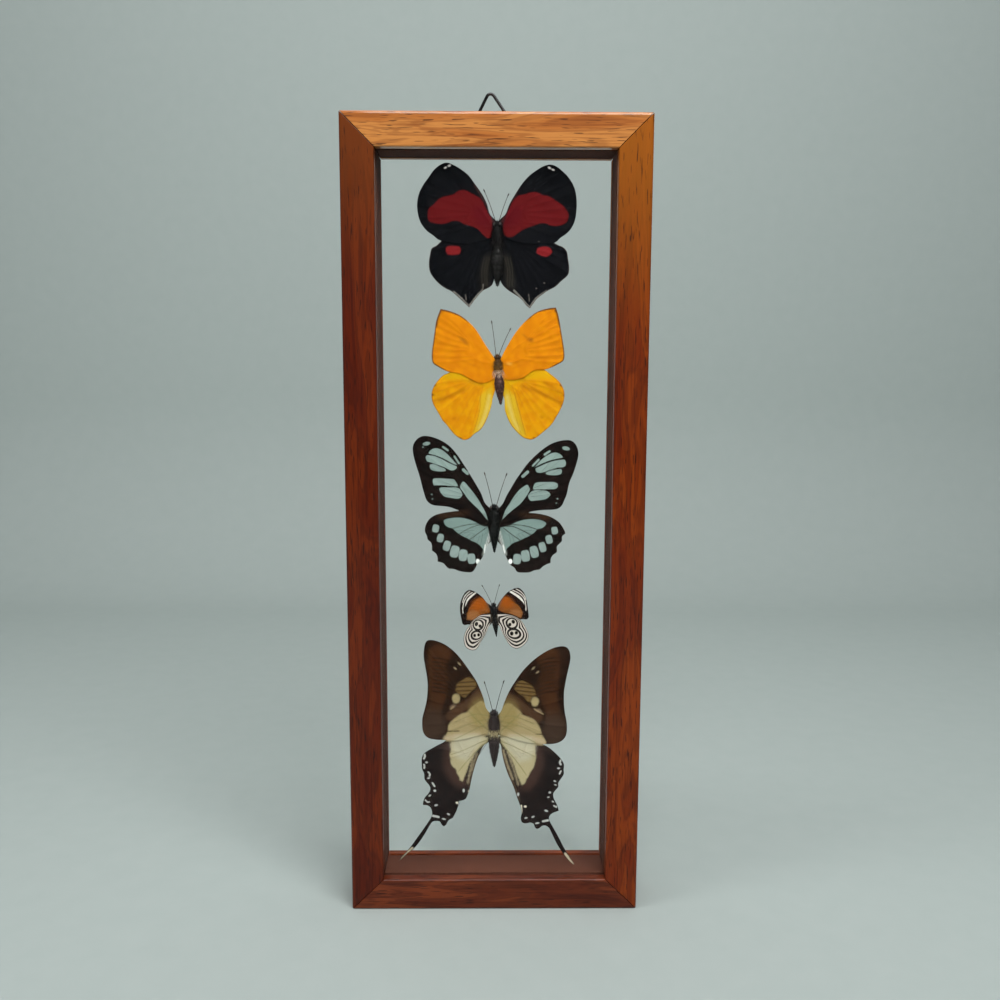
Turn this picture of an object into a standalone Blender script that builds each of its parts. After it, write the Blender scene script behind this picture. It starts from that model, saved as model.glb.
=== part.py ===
"""Five butterflies between two panes in a mitred wooden frame, with a wire hanging loop.

Four kerfed rails close round a front and a back pane. Each butterfly stands on a clear peg that is
glued to the back pane. A triangular wire loop turns in a strap that is screwed to the top rail.
The origin is the middle of the frame's foot: +X is right seen from the front, +Y runs from the
front to the back, +Z is up.
"""

import math

import bmesh
import bpy
from mathutils import Matrix, Vector

MM = 0.001

# Frame, in metres
FRAME_WIDTH = 158 * MM
FRAME_HEIGHT = 426 * MM
FRAME_DEPTH = 35 * MM
RAIL_FACE = 17.5 * MM
FACE_ROUND = 1.6 * MM
BACK_ROUND = 0.8 * MM
ROUND_STEPS = 3

# Panes and the kerfs that hold them; depths are measured from the front of the frame
PANE_THICKNESS = 2 * MM
PANE_DEPTHS = {"front_pane": 6 * MM, "back_pane": 28.5 * MM}
KERF_DEPTH = 5 * MM
PANE_BITE = 4 * MM
GAP = 0.3 * MM  # between any two pieces that touch on the real object

# Butterflies; depths are measured from the front of the frame
WING_THICKNESS = 0.4 * MM
UPPER_WING_DEPTH = 11.8 * MM
LOWER_WING_DEPTH = UPPER_WING_DEPTH + WING_THICKNESS + 0.4 * MM
BODY_DEPTH = 13.6 * MM
ANTENNA_DEPTH = 12.6 * MM
ANTENNA_RADIUS = 0.2 * MM
CLUB_SWELL = 2.4
BODY_SIDES = 10
PEG_RADIUS = 2.5 * MM
PEG_SIDES = 12

# Hanging loop, its strap and screw
LOOP_X = -1.1 * MM
HINGE_HEIGHT = FRAME_HEIGHT - 5 * MM
LOOP_RISE = 24.3 * MM
LOOP_HALF_BASE = 14.5 * MM
LOOP_LEAN = -2.3 * MM  # the apex stands a little to the left of the middle
LOOP_CORNER = 2.2 * MM
WIRE_RADIUS = 0.75 * MM
STRAP_WIDTH = 8 * MM
STRAP_SHEET = 0.8 * MM
STRAP_LEG = 9.5 * MM
BARREL_CLEARANCE = 0.35 * MM
BARREL_SWEEP = math.radians(280)
SCREW_DROP = 5.5 * MM
SCREW_HEAD_RADIUS = 2.4 * MM
SCREW_SHANK_RADIUS = 1.3 * MM
SCREW_LENGTH = 8 * MM

# Half profile of a head, thorax and abdomen: share of the length, share of the girth
BODY_PROFILE = (
    (0.0, 0.0), (0.02, 0.42), (0.07, 0.6), (0.12, 0.5), (0.2, 0.92), (0.3, 1.0), (0.4, 0.86),
    (0.47, 0.62), (0.6, 0.76), (0.75, 0.68), (0.9, 0.4), (1.0, 0.0),
)

# Each specimen in millimetres, as (x, z) from its own centre "at"; left is the viewer's left.
# "shown" says which wing lies in front where a forewing and a hindwing overlap.
SPECIMENS = {
    "redband": {
        "at": (0.5, 362.0),
        "shown": "forewing",
        "head": (0.0, 12.4),
        "tip": (0.2, -21.7),
        "girth": 2.9,
        "antennae": ((-1.0, 13.0), (-6.8, 28.0), (1.0, 13.0), (5.6, 26.0)),
        "forewing_left": (
            (-3.4, 12), (-3.9, 15.5), (-5.5, 20.8), (-8.2, 25.8), (-12, 31), (-15, 34.8),
            (-19, 37.8), (-22.5, 39.7), (-26, 40.9), (-29.5, 39.8), (-32.7, 37.3), (-35.3, 33.8),
            (-38.2, 30), (-40.3, 26), (-41.4, 21), (-41.2, 16.5), (-39.8, 11.5), (-36.8, 7.3),
            (-33, 4.5), (-30.3, 2.4), (-25, 1), (-15, 0.5), (-6, 2.5), (-3.4, 5),
        ),
        "hindwing_left": (
            (-3.6, 6), (-12, 5), (-22, 4), (-28, 2.5), (-31.5, -0.4), (-34, -1.8), (-34.8, -4.5),
            (-35.5, -9), (-35.2, -13), (-34, -15.6), (-31, -19.2), (-27, -22.2), (-24, -23.6),
            (-20.5, -26.5), (-17.2, -29.5), (-14.6, -32), (-13, -29.9), (-10.8, -27),
            (-7.5, -23.5), (-4.8, -20), (-3.9, -12), (-3.6, -2),
        ),
        "forewing_right": (
            (3.4, 12), (4.2, 15.5), (6.2, 20.3), (9.2, 25.5), (13, 31), (16.5, 34.8), (20, 37.3),
            (23.2, 39.2), (27, 40.3), (30.5, 39.3), (33.5, 37.1), (36.2, 34.6), (38.6, 31.3),
            (40.2, 27.5), (41, 22.5), (40.9, 17), (40.1, 12.3), (38.2, 8.4), (35.5, 5.6),
            (32.8, 3.8), (30.3, 1.5), (25, 0.5), (15, 0.5), (6, 2.5), (3.4, 5),
        ),
        "hindwing_right": (
            (3.6, 6), (12, 5), (22, 3.5), (28, 2), (31.5, 0.2), (34.2, -0.9), (36.2, -3), (37, -7),
            (37.6, -11), (37.4, -14), (36.4, -15.7), (33.5, -18.2), (30.3, -21.2), (27, -22.9),
            (24, -25.1), (21, -27.3), (19.2, -29.6), (17.2, -32.4), (15.3, -30.8), (12.5, -27.5),
            (8.6, -23.6), (5, -20), (3.9, -12), (3.6, -2),
        ),
    },
    "orange": {
        "at": (1.0, 298.0),
        "shown": "forewing",
        "head": (-0.3, 7.6),
        "tip": (1.6, -19.3),
        "girth": 2.4,
        "antennae": ((-1.1, 8.2), (-3.0, 25.5), (0.6, 8.2), (6.5, 21.5)),
        "forewing_left": (
            (-2.9, 4), (-4, 9), (-7, 13.5), (-9.5, 17.6), (-11.7, 20.8), (-14.3, 23.6), (-17, 26),
            (-20.3, 28.2), (-24, 29.7), (-27, 30.6), (-30, 31.2), (-31.3, 28), (-32.3, 25),
            (-33, 20.5), (-33.9, 14.5), (-34.6, 9.5), (-34.7, 5.5), (-34, 3), (-31, 1),
            (-28, -0.6), (-25.5, -1.5), (-20, -2.3), (-14, -5.5), (-9, -7.3), (-4.5, -5.5),
            (-2.9, -2),
        ),
        "hindwing_left": (
            (-3, -4), (-8, -3), (-16, 0), (-22, 0.5), (-26, -1.9), (-29, -3.3), (-31.4, -5.7),
            (-33.8, -9), (-34.8, -11.8), (-35, -15), (-34.2, -18.3), (-32.6, -21.2),
            (-30.8, -24.3), (-29.2, -27), (-27, -29.4), (-25.2, -31.8), (-23, -34.3),
            (-20, -36.5), (-17.5, -37.3), (-15, -36.5), (-12.5, -34.2), (-9.5, -32.2),
            (-7.7, -30), (-6, -26.8), (-4.5, -23), (-3.3, -19), (-2.7, -15.5), (-3, -10),
        ),
        "forewing_right": (
            (2.9, 4), (3.2, 9), (6, 14), (8.7, 18.3), (11.5, 22), (14.5, 25.2), (17.5, 27.9),
            (20.5, 29.9), (24, 31.2), (28, 32), (30.3, 32.2), (31.4, 29), (32.3, 25), (33.2, 20),
            (34.1, 15), (34.9, 10), (35.1, 7), (34.6, 4.7), (31.5, 2.7), (28, 1), (25, 0),
            (19, -0.5), (13, -4.5), (6.5, -5.5), (3.4, -4), (2.9, -1),
        ),
        "hindwing_right": (
            (3.4, -5), (9, -2), (17, 1), (22, 1), (25.5, -0.6), (28.2, -2.6), (31, -4.8),
            (33.2, -7.2), (34.8, -10), (35.4, -12.8), (35.2, -16), (34.2, -19.3), (32.7, -22.3),
            (31, -25.3), (29.3, -28.2), (27, -30.7), (24, -33.2), (21, -35.6), (18.3, -37),
            (16, -36.8), (13, -35.5), (10.5, -33), (8, -30.5), (6.3, -27.8), (4.8, -24.5),
            (3.8, -21), (3.6, -16), (3.6, -10),
        ),
    },
    "window": {
        "at": (0.3, 215.0),
        "shown": "forewing",
        "head": (-1.0, 10.4),
        "tip": (-0.8, -16.0),
        "girth": 2.6,
        "antennae": ((-1.9, 11.0), (-6.0, 28.5), (0.3, 11.0), (5.5, 28.0)),
        "forewing_left": (
            (-4.3, 7), (-6, 12), (-8, 17), (-10.5, 21.5), (-13, 25.7), (-15.3, 29.5),
            (-17.7, 33.2), (-20.3, 37.2), (-23.3, 40.9), (-26.3, 43.6), (-29.5, 45.5),
            (-33, 46.9), (-36, 47.6), (-38.8, 47.7), (-41.3, 46.7), (-43.2, 44.9), (-44.4, 42.3),
            (-44.5, 39.5), (-43.8, 35.5), (-42.7, 31.5), (-41.4, 27.5), (-40.3, 23.5),
            (-39.5, 20), (-38.6, 16.8), (-37.6, 13.7), (-36, 11.7), (-33.5, 10.5), (-30, 10.2),
            (-26.5, 9.9), (-23, 9), (-18.8, 7.2), (-12, 3), (-7, 0.5), (-4.3, 1),
        ),
        "hindwing_left": (
            (-4.4, 2), (-12, 6), (-18, 7.6), (-22, 7.2), (-26, 6.8), (-30, 6), (-33.2, 4.9),
            (-35.8, 3), (-37.5, 0.5), (-38.3, -2), (-38.3, -4.2), (-37.3, -6.3), (-36.9, -8.3),
            (-35.2, -9.8), (-34.6, -11.8), (-34.7, -14.3), (-32.5, -16), (-31.6, -18),
            (-31.6, -20.3), (-28.5, -21.2), (-26.8, -23), (-25.5, -24.1), (-22.5, -24.4),
            (-20, -25.4), (-16.5, -26), (-13, -25.9), (-11.2, -24), (-10, -21.5), (-8, -19),
            (-6.6, -16.5), (-5, -12), (-4.4, -8),
        ),
        "forewing_right": (
            (2.3, 7), (3.6, 11.5), (5.7, 16), (8, 20), (10.5, 24.3), (13, 28), (15.3, 31.3),
            (18, 34.6), (21.3, 37.9), (25, 41), (29, 43.6), (33, 45.1), (36.7, 45.7),
            (39.8, 45.5), (42, 44), (43.5, 41.3), (44, 38), (43.4, 34.5), (42.3, 30.5),
            (41, 26.8), (39.5, 23.3), (38.7, 20), (38, 16.5), (36.7, 13.3), (35.4, 10.5),
            (33.3, 8.8), (30.5, 8.3), (26, 8.2), (22.5, 7.9), (19, 7.3), (16.5, 6.3), (10, 3),
            (5, 0.5), (2.3, 1),
        ),
        "hindwing_right": (
            (2.4, 2), (9, 5), (16, 6.6), (20, 6.4), (24, 5.9), (28, 4.9), (31.2, 3.4), (34, 1.4),
            (35.8, -1), (37.2, -3.6), (37.6, -4.9), (35.9, -6.4), (35.7, -9), (34.2, -10.6),
            (33, -12), (33, -15), (31, -16.6), (29.9, -18.3), (29.6, -21), (27.2, -21.8),
            (25, -23.3), (23.8, -24.5), (20.8, -25), (18.5, -26), (15, -26.2), (11.6, -25.8),
            (10, -23.5), (7.5, -21.8), (6, -18.5), (4.7, -16), (3.3, -12), (2.4, -8),
        ),
    },
    "ringed": {
        "at": (0.0, 165.0),
        "shown": "hindwing",
        "head": (-1.0, 6.7),
        "tip": (0.8, -13.0),
        "girth": 1.5,
        "antennae": ((-1.9, 7.1), (-7.0, 16.5), (-0.4, 7.1), (2.0, 17.0)),
        "forewing_left": (
            (-2.7, 2), (-3.4, 4.8), (-4.7, 7), (-6.5, 9.4), (-8.5, 11.2), (-10.3, 12.5),
            (-12.5, 13.6), (-14.3, 13.9), (-16, 12.9), (-17.4, 10.9), (-18.5, 8.3), (-19.1, 5.5),
            (-19.2, 2.5), (-18.9, 0), (-18.4, -2.5), (-17.8, -5), (-16.5, -5.7), (-15, -5.4),
            (-12, -5.5), (-7, -4), (-2.8, -1),
        ),
        "hindwing_left": (
            (-2.7, 1), (-5, 0.6), (-8, 0), (-10.5, -1.6), (-12.8, -3.6), (-14.3, -6.2),
            (-15.6, -8), (-16.6, -10.2), (-17.2, -13), (-16.9, -15.9), (-16, -18),
            (-14.3, -19.2), (-12.4, -19.8), (-10.4, -19.3), (-9, -17.6), (-7.9, -15.3),
            (-6.7, -13.3), (-5.5, -11.3), (-4.5, -9), (-3.5, -6.5), (-2.8, -4), (-2.6, -1.5),
        ),
        "forewing_right": (
            (0.9, 3), (1.7, 6), (3, 8.2), (4.8, 10.6), (6.7, 12.6), (8.8, 14), (11, 15),
            (12.8, 15.1), (14.3, 14.1), (15.8, 12.2), (16.8, 9.8), (17.4, 7), (17.8, 4),
            (18.2, 1), (18.3, -1.4), (17.2, -2.5), (15.3, -2.3), (12, -3), (7, -3), (1.2, -1),
        ),
        "hindwing_right": (
            (1.3, 1), (3.3, 0.8), (6, 0.6), (9, 0), (12, -1.2), (14.2, -2.9), (15.6, -4.8),
            (16.7, -6.8), (17.7, -8.9), (18.3, -10.8), (18.2, -12.9), (17.3, -15), (15.7, -16.8),
            (13.6, -18.3), (11.6, -18.8), (9.6, -18.1), (8, -16.8), (6.4, -14.5), (5, -12),
            (3.5, -9), (2.6, -6.5), (1.9, -4),
        ),
    },
    "swallowtail": {
        "at": (-0.3, 100.0),
        "shown": "forewing",
        "head": (-0.2, 10.9),
        "tip": (0.1, -22.8),
        "girth": 2.8,
        "antennae": ((-1.1, 11.5), (-5.3, 27.5), (0.8, 11.5), (5.0, 28.0)),
        "forewing_left": (
            (-3.6, 7), (-4.6, 12.5), (-6, 18), (-7.8, 23), (-10, 28), (-12.5, 32), (-15, 35.8),
            (-18, 40), (-21, 43.6), (-24.2, 46.5), (-27.5, 48.7), (-31, 50.2), (-34.5, 50.9),
            (-36.8, 50.5), (-38, 48.8), (-38.7, 45.5), (-38.9, 41.5), (-38.2, 36.5),
            (-37.3, 31), (-36.8, 26), (-36.9, 21), (-37.6, 15.5), (-38.7, 10.8), (-39.8, 6.5),
            (-40, 2.5), (-39.7, -1), (-38.4, -3.7), (-36.3, -5.2), (-33, -5.9), (-28.3, -6.1),
            (-22, -6.5), (-14, -5), (-7, -3), (-3.6, -2),
        ),
        "hindwing_left": (
            (-3.7, -4), (-8, -1), (-16, -1), (-24, -4), (-28, -7.4), (-31.5, -9.3),
            (-34.7, -11.3), (-37.3, -13), (-39.5, -15), (-40.4, -17.5), (-40.4, -21),
            (-40.2, -23.7), (-39.2, -26.2), (-38.9, -29.5), (-37.5, -31.5), (-36, -33.5),
            (-35.7, -35.2), (-36.8, -37.8), (-38.6, -40), (-39.7, -42.5), (-39.9, -44.7),
            (-37.5, -44.9), (-35.8, -46), (-34.9, -48.2), (-35, -51), (-37, -54.8), (-40, -59.4),
            (-43, -63.9), (-46, -68.3), (-49, -72.3), (-52.3, -76.2), (-53.6, -78.2),
            (-52.3, -77.4), (-49.8, -74.8), (-47, -72.3), (-44.3, -69.7), (-41.3, -65.7),
            (-38.5, -61), (-36.3, -57), (-34.6, -54.5), (-32, -53.8), (-30.4, -54.2),
            (-29.4, -55.9), (-28.2, -56.9), (-27, -56), (-26, -54), (-24.8, -52.6),
            (-23.4, -52), (-22.1, -49.7), (-20.8, -46.8), (-20, -43.5), (-19.6, -41.6),
            (-17.2, -41.2), (-15.7, -40.2), (-14.8, -38), (-13.9, -35.5), (-13.2, -32),
            (-12.3, -27.5), (-11, -22.5), (-9.5, -17.5), (-7.7, -13), (-5.5, -9), (-4.2, -6.5),
        ),
        "forewing_right": (
            (3.2, 6), (3.7, 10.5), (5.3, 15), (7.2, 20), (9.5, 24.5), (12, 28.6), (15, 33),
            (18, 36.5), (21.2, 39.7), (24.5, 42.2), (28, 44.5), (31, 46), (34, 47), (37.5, 47.3),
            (39.7, 46.6), (41.2, 44.5), (41.8, 41.5), (41.6, 38.5), (40.9, 35), (40.1, 31),
            (39.3, 26.8), (38.6, 22), (38.5, 17.5), (38.7, 13), (39.2, 9), (40, 5.2),
            (40.4, 1.5), (40.3, -2), (39.5, -4.8), (37.5, -7), (34.5, -8.2), (31.5, -8.5),
            (26, -8.3), (20, -8), (12, -6), (6, -4), (3.2, -3),
        ),
        "hindwing_right": (
            (3.3, -5), (8, -2), (16, -3), (23, -6), (27, -8.6), (29.3, -9.9), (31.7, -11.7),
            (34.2, -14.1), (36.6, -16.7), (38.3, -19.2), (39.1, -21.3), (38.9, -24), (39, -26.5),
            (37.4, -29.2), (36, -31.7), (36, -34), (34.5, -35.8), (33.3, -37.5), (33.3, -39.8),
            (34.3, -42.3), (35.7, -45.2), (36.4, -48.2), (34.3, -48.8), (32.3, -49.7),
            (31.1, -51.2), (31.1, -53.4), (32.6, -56.5), (34.7, -60.5), (37, -64.9), (39, -69),
            (41.2, -73), (43.4, -76.7), (45.7, -80.3), (45.3, -80.9), (43.5, -79.3),
            (41.3, -76.8), (39.2, -73.8), (37.1, -70.5), (34.8, -66.2), (32.5, -61.2),
            (30.8, -57.9), (28.8, -56.6), (27, -56.8), (25.5, -58), (24, -58.4), (22.9, -57.2),
            (22.3, -55.4), (20.5, -54.6), (17.5, -55), (15.6, -54.3), (15, -52), (15.5, -49),
            (15, -45.8), (14, -42.7), (12.8, -39.3), (11.5, -35.2), (9.8, -30.8), (8, -26.8),
            (6.5, -22.5), (5.2, -18), (4.2, -13), (3.6, -9),
        ),
    },
}

# Colour, roughness, metallic and alpha of each sub-part
FINISHES = {
    "mahogany": ((0.22, 0.07, 0.025), 0.3, 0.0, 1.0),
    "clear_glass": ((0.9, 0.95, 0.93), 0.03, 0.0, 0.15),
    "clear_peg": ((0.9, 0.92, 0.92), 0.15, 0.0, 0.4),
    "black_wire": ((0.015, 0.015, 0.016), 0.4, 0.8, 1.0),
    "steel": ((0.45, 0.45, 0.46), 0.35, 1.0, 1.0),
    "dark_chitin": ((0.03, 0.022, 0.018), 0.6, 0.0, 1.0),
    "redband_wing": ((0.05, 0.012, 0.014), 0.7, 0.0, 1.0),
    "orange_wing": ((0.75, 0.28, 0.01), 0.7, 0.0, 1.0),
    "window_wing": ((0.12, 0.14, 0.13), 0.7, 0.0, 1.0),
    "ringed_wing": ((0.35, 0.3, 0.25), 0.7, 0.0, 1.0),
    "swallowtail_wing": ((0.12, 0.07, 0.04), 0.7, 0.0, 1.0),
}


def depth(from_front):
    """The Y of a place that lies this far behind the front of the frame."""
    return from_front - FRAME_DEPTH / 2


def material(name):
    made = bpy.data.materials.get(name)
    if made:
        return made
    colour, roughness, metallic, alpha = FINISHES[name]
    made = bpy.data.materials.new(name)
    made.use_nodes = True
    shader = made.node_tree.nodes["Principled BSDF"]
    shader.inputs["Base Color"].default_value = (*colour, 1.0)
    shader.inputs["Roughness"].default_value = roughness
    shader.inputs["Metallic"].default_value = metallic
    shader.inputs["Alpha"].default_value = alpha
    return made


def add_object(name, data, finish, location=(0.0, 0.0, 0.0)):
    data.materials.append(material(finish))
    obj = bpy.data.objects.new(name, data)
    obj.location = location
    bpy.context.scene.collection.objects.link(obj)
    return obj


def add_mesh(name, bm, finish, location=(0.0, 0.0, 0.0)):
    bmesh.ops.recalc_face_normals(bm, faces=bm.faces)
    mesh = bpy.data.meshes.new(name)
    bm.to_mesh(mesh)
    bm.free()
    mesh.shade_smooth()
    mesh.set_sharp_from_angle(angle=math.radians(40))
    return add_object(name, mesh, finish, location)


def prism(outline, thickness_along):
    """A closed slab: the outline's points, and the same face moved by thickness_along."""
    bm = bmesh.new()
    face = bm.faces.new([bm.verts.new(point) for point in outline])
    moved = bmesh.ops.extrude_face_region(bm, geom=[face])["geom"]
    corners = [item for item in moved if isinstance(item, bmesh.types.BMVert)]
    bmesh.ops.translate(bm, verts=corners, vec=thickness_along)
    return bm


def lathe(profile, sides):
    """A closed turned solid round Z, from (height, radius) pairs that end on the axis."""
    bm = bmesh.new()
    points = [bm.verts.new((radius, 0.0, height)) for height, radius in profile]
    edges = [bm.edges.new(pair) for pair in zip(points, points[1:])]
    bmesh.ops.spin(bm, geom=points + edges, cent=(0, 0, 0), axis=(0, 0, 1),
                   angle=2 * math.pi, steps=sides, use_merge=True)
    bmesh.ops.remove_doubles(bm, verts=bm.verts, dist=1e-6)
    return bm


def cut_round_hole(obj, at, radius, length):
    """Bores a hole along Y, centred on at."""
    bm = bmesh.new()
    bmesh.ops.create_cone(bm, cap_ends=True, segments=16, radius1=radius, radius2=radius,
                          depth=length, matrix=Matrix.Rotation(math.pi / 2, 4, "X"))
    cutter = add_mesh(obj.name + "_hole", bm, "steel", at)
    cutter.hide_render = True
    cutter.display_type = "WIRE"
    bore = obj.modifiers.new("screw_hole", "BOOLEAN")
    bore.operation = "DIFFERENCE"
    bore.solver = "EXACT"
    bore.object = cutter


def rounded_corner(centre, radius, start):
    """A quarter circle's points in (across, depth), turning clockwise from start."""
    turns = [start - i * math.pi / 2 / ROUND_STEPS for i in range(ROUND_STEPS + 1)]
    return [(centre[0] + radius * math.cos(a), centre[1] + radius * math.sin(a)) for a in turns]


def rail_profile():
    """The moulding's section: across runs from the outer edge inwards, depth from the front."""
    profile = []
    profile += rounded_corner((FACE_ROUND, FRAME_DEPTH - FACE_ROUND), FACE_ROUND, math.pi)
    profile += rounded_corner((RAIL_FACE - BACK_ROUND, FRAME_DEPTH - BACK_ROUND),
                              BACK_ROUND, math.pi / 2)
    for pane in ("back_pane", "front_pane"):
        near = PANE_DEPTHS[pane] - GAP
        far = PANE_DEPTHS[pane] + PANE_THICKNESS + GAP
        floor = RAIL_FACE - KERF_DEPTH
        profile += [(RAIL_FACE, far), (floor, far), (floor, near), (RAIL_FACE, near)]
    profile += rounded_corner((RAIL_FACE - BACK_ROUND, BACK_ROUND), BACK_ROUND, 0.0)
    profile += rounded_corner((FACE_ROUND, FACE_ROUND), FACE_ROUND, -math.pi / 2)
    return profile


def add_rail(name, length, turn, corner):
    """A kerfed rail, mitred at both ends; corner is the outer corner that it starts from."""
    mitre_gap = GAP / math.sqrt(2)
    bm = bmesh.new()
    ends = ([], [])
    for across, back in rail_profile():
        ends[0].append(bm.verts.new((across + mitre_gap, depth(back), across)))
        ends[1].append(bm.verts.new((length - across - mitre_gap, depth(back), across)))
    for end in ends:
        bm.faces.new(end)
    sides = len(ends[0])
    for i in range(sides):
        j = (i + 1) % sides
        bm.faces.new((ends[0][i], ends[0][j], ends[1][j], ends[1][i]))
    place = Matrix.Translation((corner[0], 0.0, corner[1])) @ Matrix.Rotation(turn, 4, "Y")
    bmesh.ops.transform(bm, matrix=place, verts=bm.verts)
    return add_mesh(name, bm, "mahogany")


def add_frame():
    half = FRAME_WIDTH / 2
    add_rail("bottom_rail", FRAME_WIDTH, 0.0, (-half, 0.0))
    add_rail("right_rail", FRAME_HEIGHT, -math.pi / 2, (half, 0.0))
    top = add_rail("top_rail", FRAME_WIDTH, math.pi, (half, FRAME_HEIGHT))
    add_rail("left_rail", FRAME_HEIGHT, math.pi / 2, (-half, FRAME_HEIGHT))
    cut_round_hole(top, (LOOP_X, depth(FRAME_DEPTH), HINGE_HEIGHT - SCREW_DROP),
                   SCREW_SHANK_RADIUS + GAP, 2 * (SCREW_LENGTH + GAP))


def add_panes():
    inset = RAIL_FACE - PANE_BITE
    for name, near in PANE_DEPTHS.items():
        left, right = inset - FRAME_WIDTH / 2, FRAME_WIDTH / 2 - inset
        low, high = inset, FRAME_HEIGHT - inset
        corners = ((left, low), (right, low), (right, high), (left, high))
        outline = [(x, depth(near), z) for x, z in corners]
        add_mesh(name, prism(outline, (0, PANE_THICKNESS, 0)), "clear_glass")


def spot(specimen, point, from_front):
    """A point of a specimen, in the frame's own metres."""
    x, z = specimen["at"]
    return Vector(((x + point[0]) * MM, depth(from_front), (z + point[1]) * MM))


def add_wings(kind, specimen):
    for side in ("left", "right"):
        for wing in ("forewing", "hindwing"):
            near = UPPER_WING_DEPTH if wing == specimen["shown"] else LOWER_WING_DEPTH
            outline = [spot(specimen, point, near) for point in specimen[f"{wing}_{side}"]]
            slab = prism(outline, (0, WING_THICKNESS, 0))
            add_mesh(f"{kind}_{wing}_{side}", slab, f"{kind}_wing")


def add_body(kind, specimen):
    head = spot(specimen, specimen["head"], BODY_DEPTH)
    tip = spot(specimen, specimen["tip"], BODY_DEPTH)
    length = (tip - head).length
    girth = specimen["girth"] * MM
    bm = lathe([(share * length, wide * girth) for share, wide in BODY_PROFILE], BODY_SIDES)
    turn = (tip - head).to_track_quat("Z", "Y").to_matrix().to_4x4()
    bmesh.ops.transform(bm, matrix=Matrix.Translation(head) @ turn, verts=bm.verts)
    add_mesh(f"{kind}_body", bm, "dark_chitin")


def add_antennae(kind, specimen):
    points = specimen["antennae"]
    for side, root, tip in (("left", *points[:2]), ("right", *points[2:])):
        curve = bpy.data.curves.new(f"{kind}_antenna_{side}", "CURVE")
        curve.dimensions = "3D"
        curve.bevel_depth = ANTENNA_RADIUS
        curve.bevel_resolution = 1
        curve.use_fill_caps = True
        line = curve.splines.new("POLY")
        stations = ((0.0, 1.0), (0.45, 0.8), (0.86, 0.8), (0.92, CLUB_SWELL), (1.0, CLUB_SWELL))
        line.points.add(len(stations) - 1)
        start = spot(specimen, root, ANTENNA_DEPTH)
        end = spot(specimen, tip, ANTENNA_DEPTH)
        for point, (share, swell) in zip(line.points, stations):
            point.co = (*start.lerp(end, share), 1.0)
            point.radius = swell
        add_object(curve.name, curve, "dark_chitin")


def add_peg(kind, specimen):
    """The clear peg from under the thorax to the back pane."""
    share = 0.3
    head, tip = Vector(specimen["head"]), Vector(specimen["tip"])
    radius = min(PEG_RADIUS, specimen["girth"] * MM)
    near = BODY_DEPTH + specimen["girth"] * MM + GAP
    far = PANE_DEPTHS["back_pane"] - GAP
    middle = spot(specimen, head.lerp(tip, share), (near + far) / 2)
    bm = bmesh.new()
    bmesh.ops.create_cone(bm, cap_ends=True, segments=PEG_SIDES, radius1=radius, radius2=radius,
                          depth=far - near, matrix=Matrix.Rotation(math.pi / 2, 4, "X"))
    bmesh.ops.translate(bm, verts=bm.verts, vec=middle)
    add_mesh(f"{kind}_peg", bm, "clear_peg")


def barrel_centre():
    """The axis that the loop turns on: X is free, Y and Z are the barrel's."""
    outer = WIRE_RADIUS + BARREL_CLEARANCE + STRAP_SHEET
    return Vector((LOOP_X, depth(FRAME_DEPTH) + GAP + outer, HINGE_HEIGHT))


def triangle_path():
    """The loop's centre line from its base bar, as (x, z) with each corner rounded."""
    corners = [Vector((-LOOP_HALF_BASE, 0)), Vector((LOOP_HALF_BASE, 0)),
               Vector((LOOP_LEAN, LOOP_RISE))]
    path = []
    for i, corner in enumerate(corners):
        before = (corners[i - 1] - corner).normalized()
        after = (corners[(i + 1) % 3] - corner).normalized()
        half = before.angle(after) / 2
        centre = corner + (before + after).normalized() * LOOP_CORNER / math.sin(half)
        first = corner + before * LOOP_CORNER / math.tan(half) - centre
        sweep = math.pi - 2 * half
        steps = 5
        path += [centre + Matrix.Rotation(sweep * j / steps, 2) @ first for j in range(steps + 1)]
    return path


def add_loop():
    curve = bpy.data.curves.new("hanging_loop", "CURVE")
    curve.dimensions = "3D"
    curve.bevel_depth = WIRE_RADIUS
    curve.bevel_resolution = 2
    path = triangle_path()
    line = curve.splines.new("POLY")
    line.points.add(len(path) - 1)
    line.use_cyclic_u = True
    for point, (x, z) in zip(line.points, path):
        point.co = (x, 0.0, z, 1.0)
    add_object("hanging_loop", curve, "black_wire", barrel_centre())


def add_strap():
    """A strip bent round the loop's base bar, with one leg down the back of the rail."""
    centre = barrel_centre()
    inner = WIRE_RADIUS + BARREL_CLEARANCE
    outer = inner + STRAP_SHEET
    steps = 14
    turns = [math.pi - BARREL_SWEEP * i / steps for i in range(steps + 1)]
    outside = [(outer * math.cos(a), outer * math.sin(a)) for a in turns]
    inside = [(inner * math.cos(a), inner * math.sin(a)) for a in reversed(turns)]
    section = [(-outer, -STRAP_LEG), *outside, *inside, (-inner, -STRAP_LEG)]
    left = centre.x - STRAP_WIDTH / 2
    outline = [(left, centre.y + y, centre.z + z) for y, z in section]
    strap = add_mesh("hanger_strap", prism(outline, (STRAP_WIDTH, 0, 0)), "steel")
    hole = Vector((centre.x, centre.y - outer, centre.z - SCREW_DROP))
    cut_round_hole(strap, hole, SCREW_SHANK_RADIUS + GAP, 6 * STRAP_SHEET)


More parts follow.
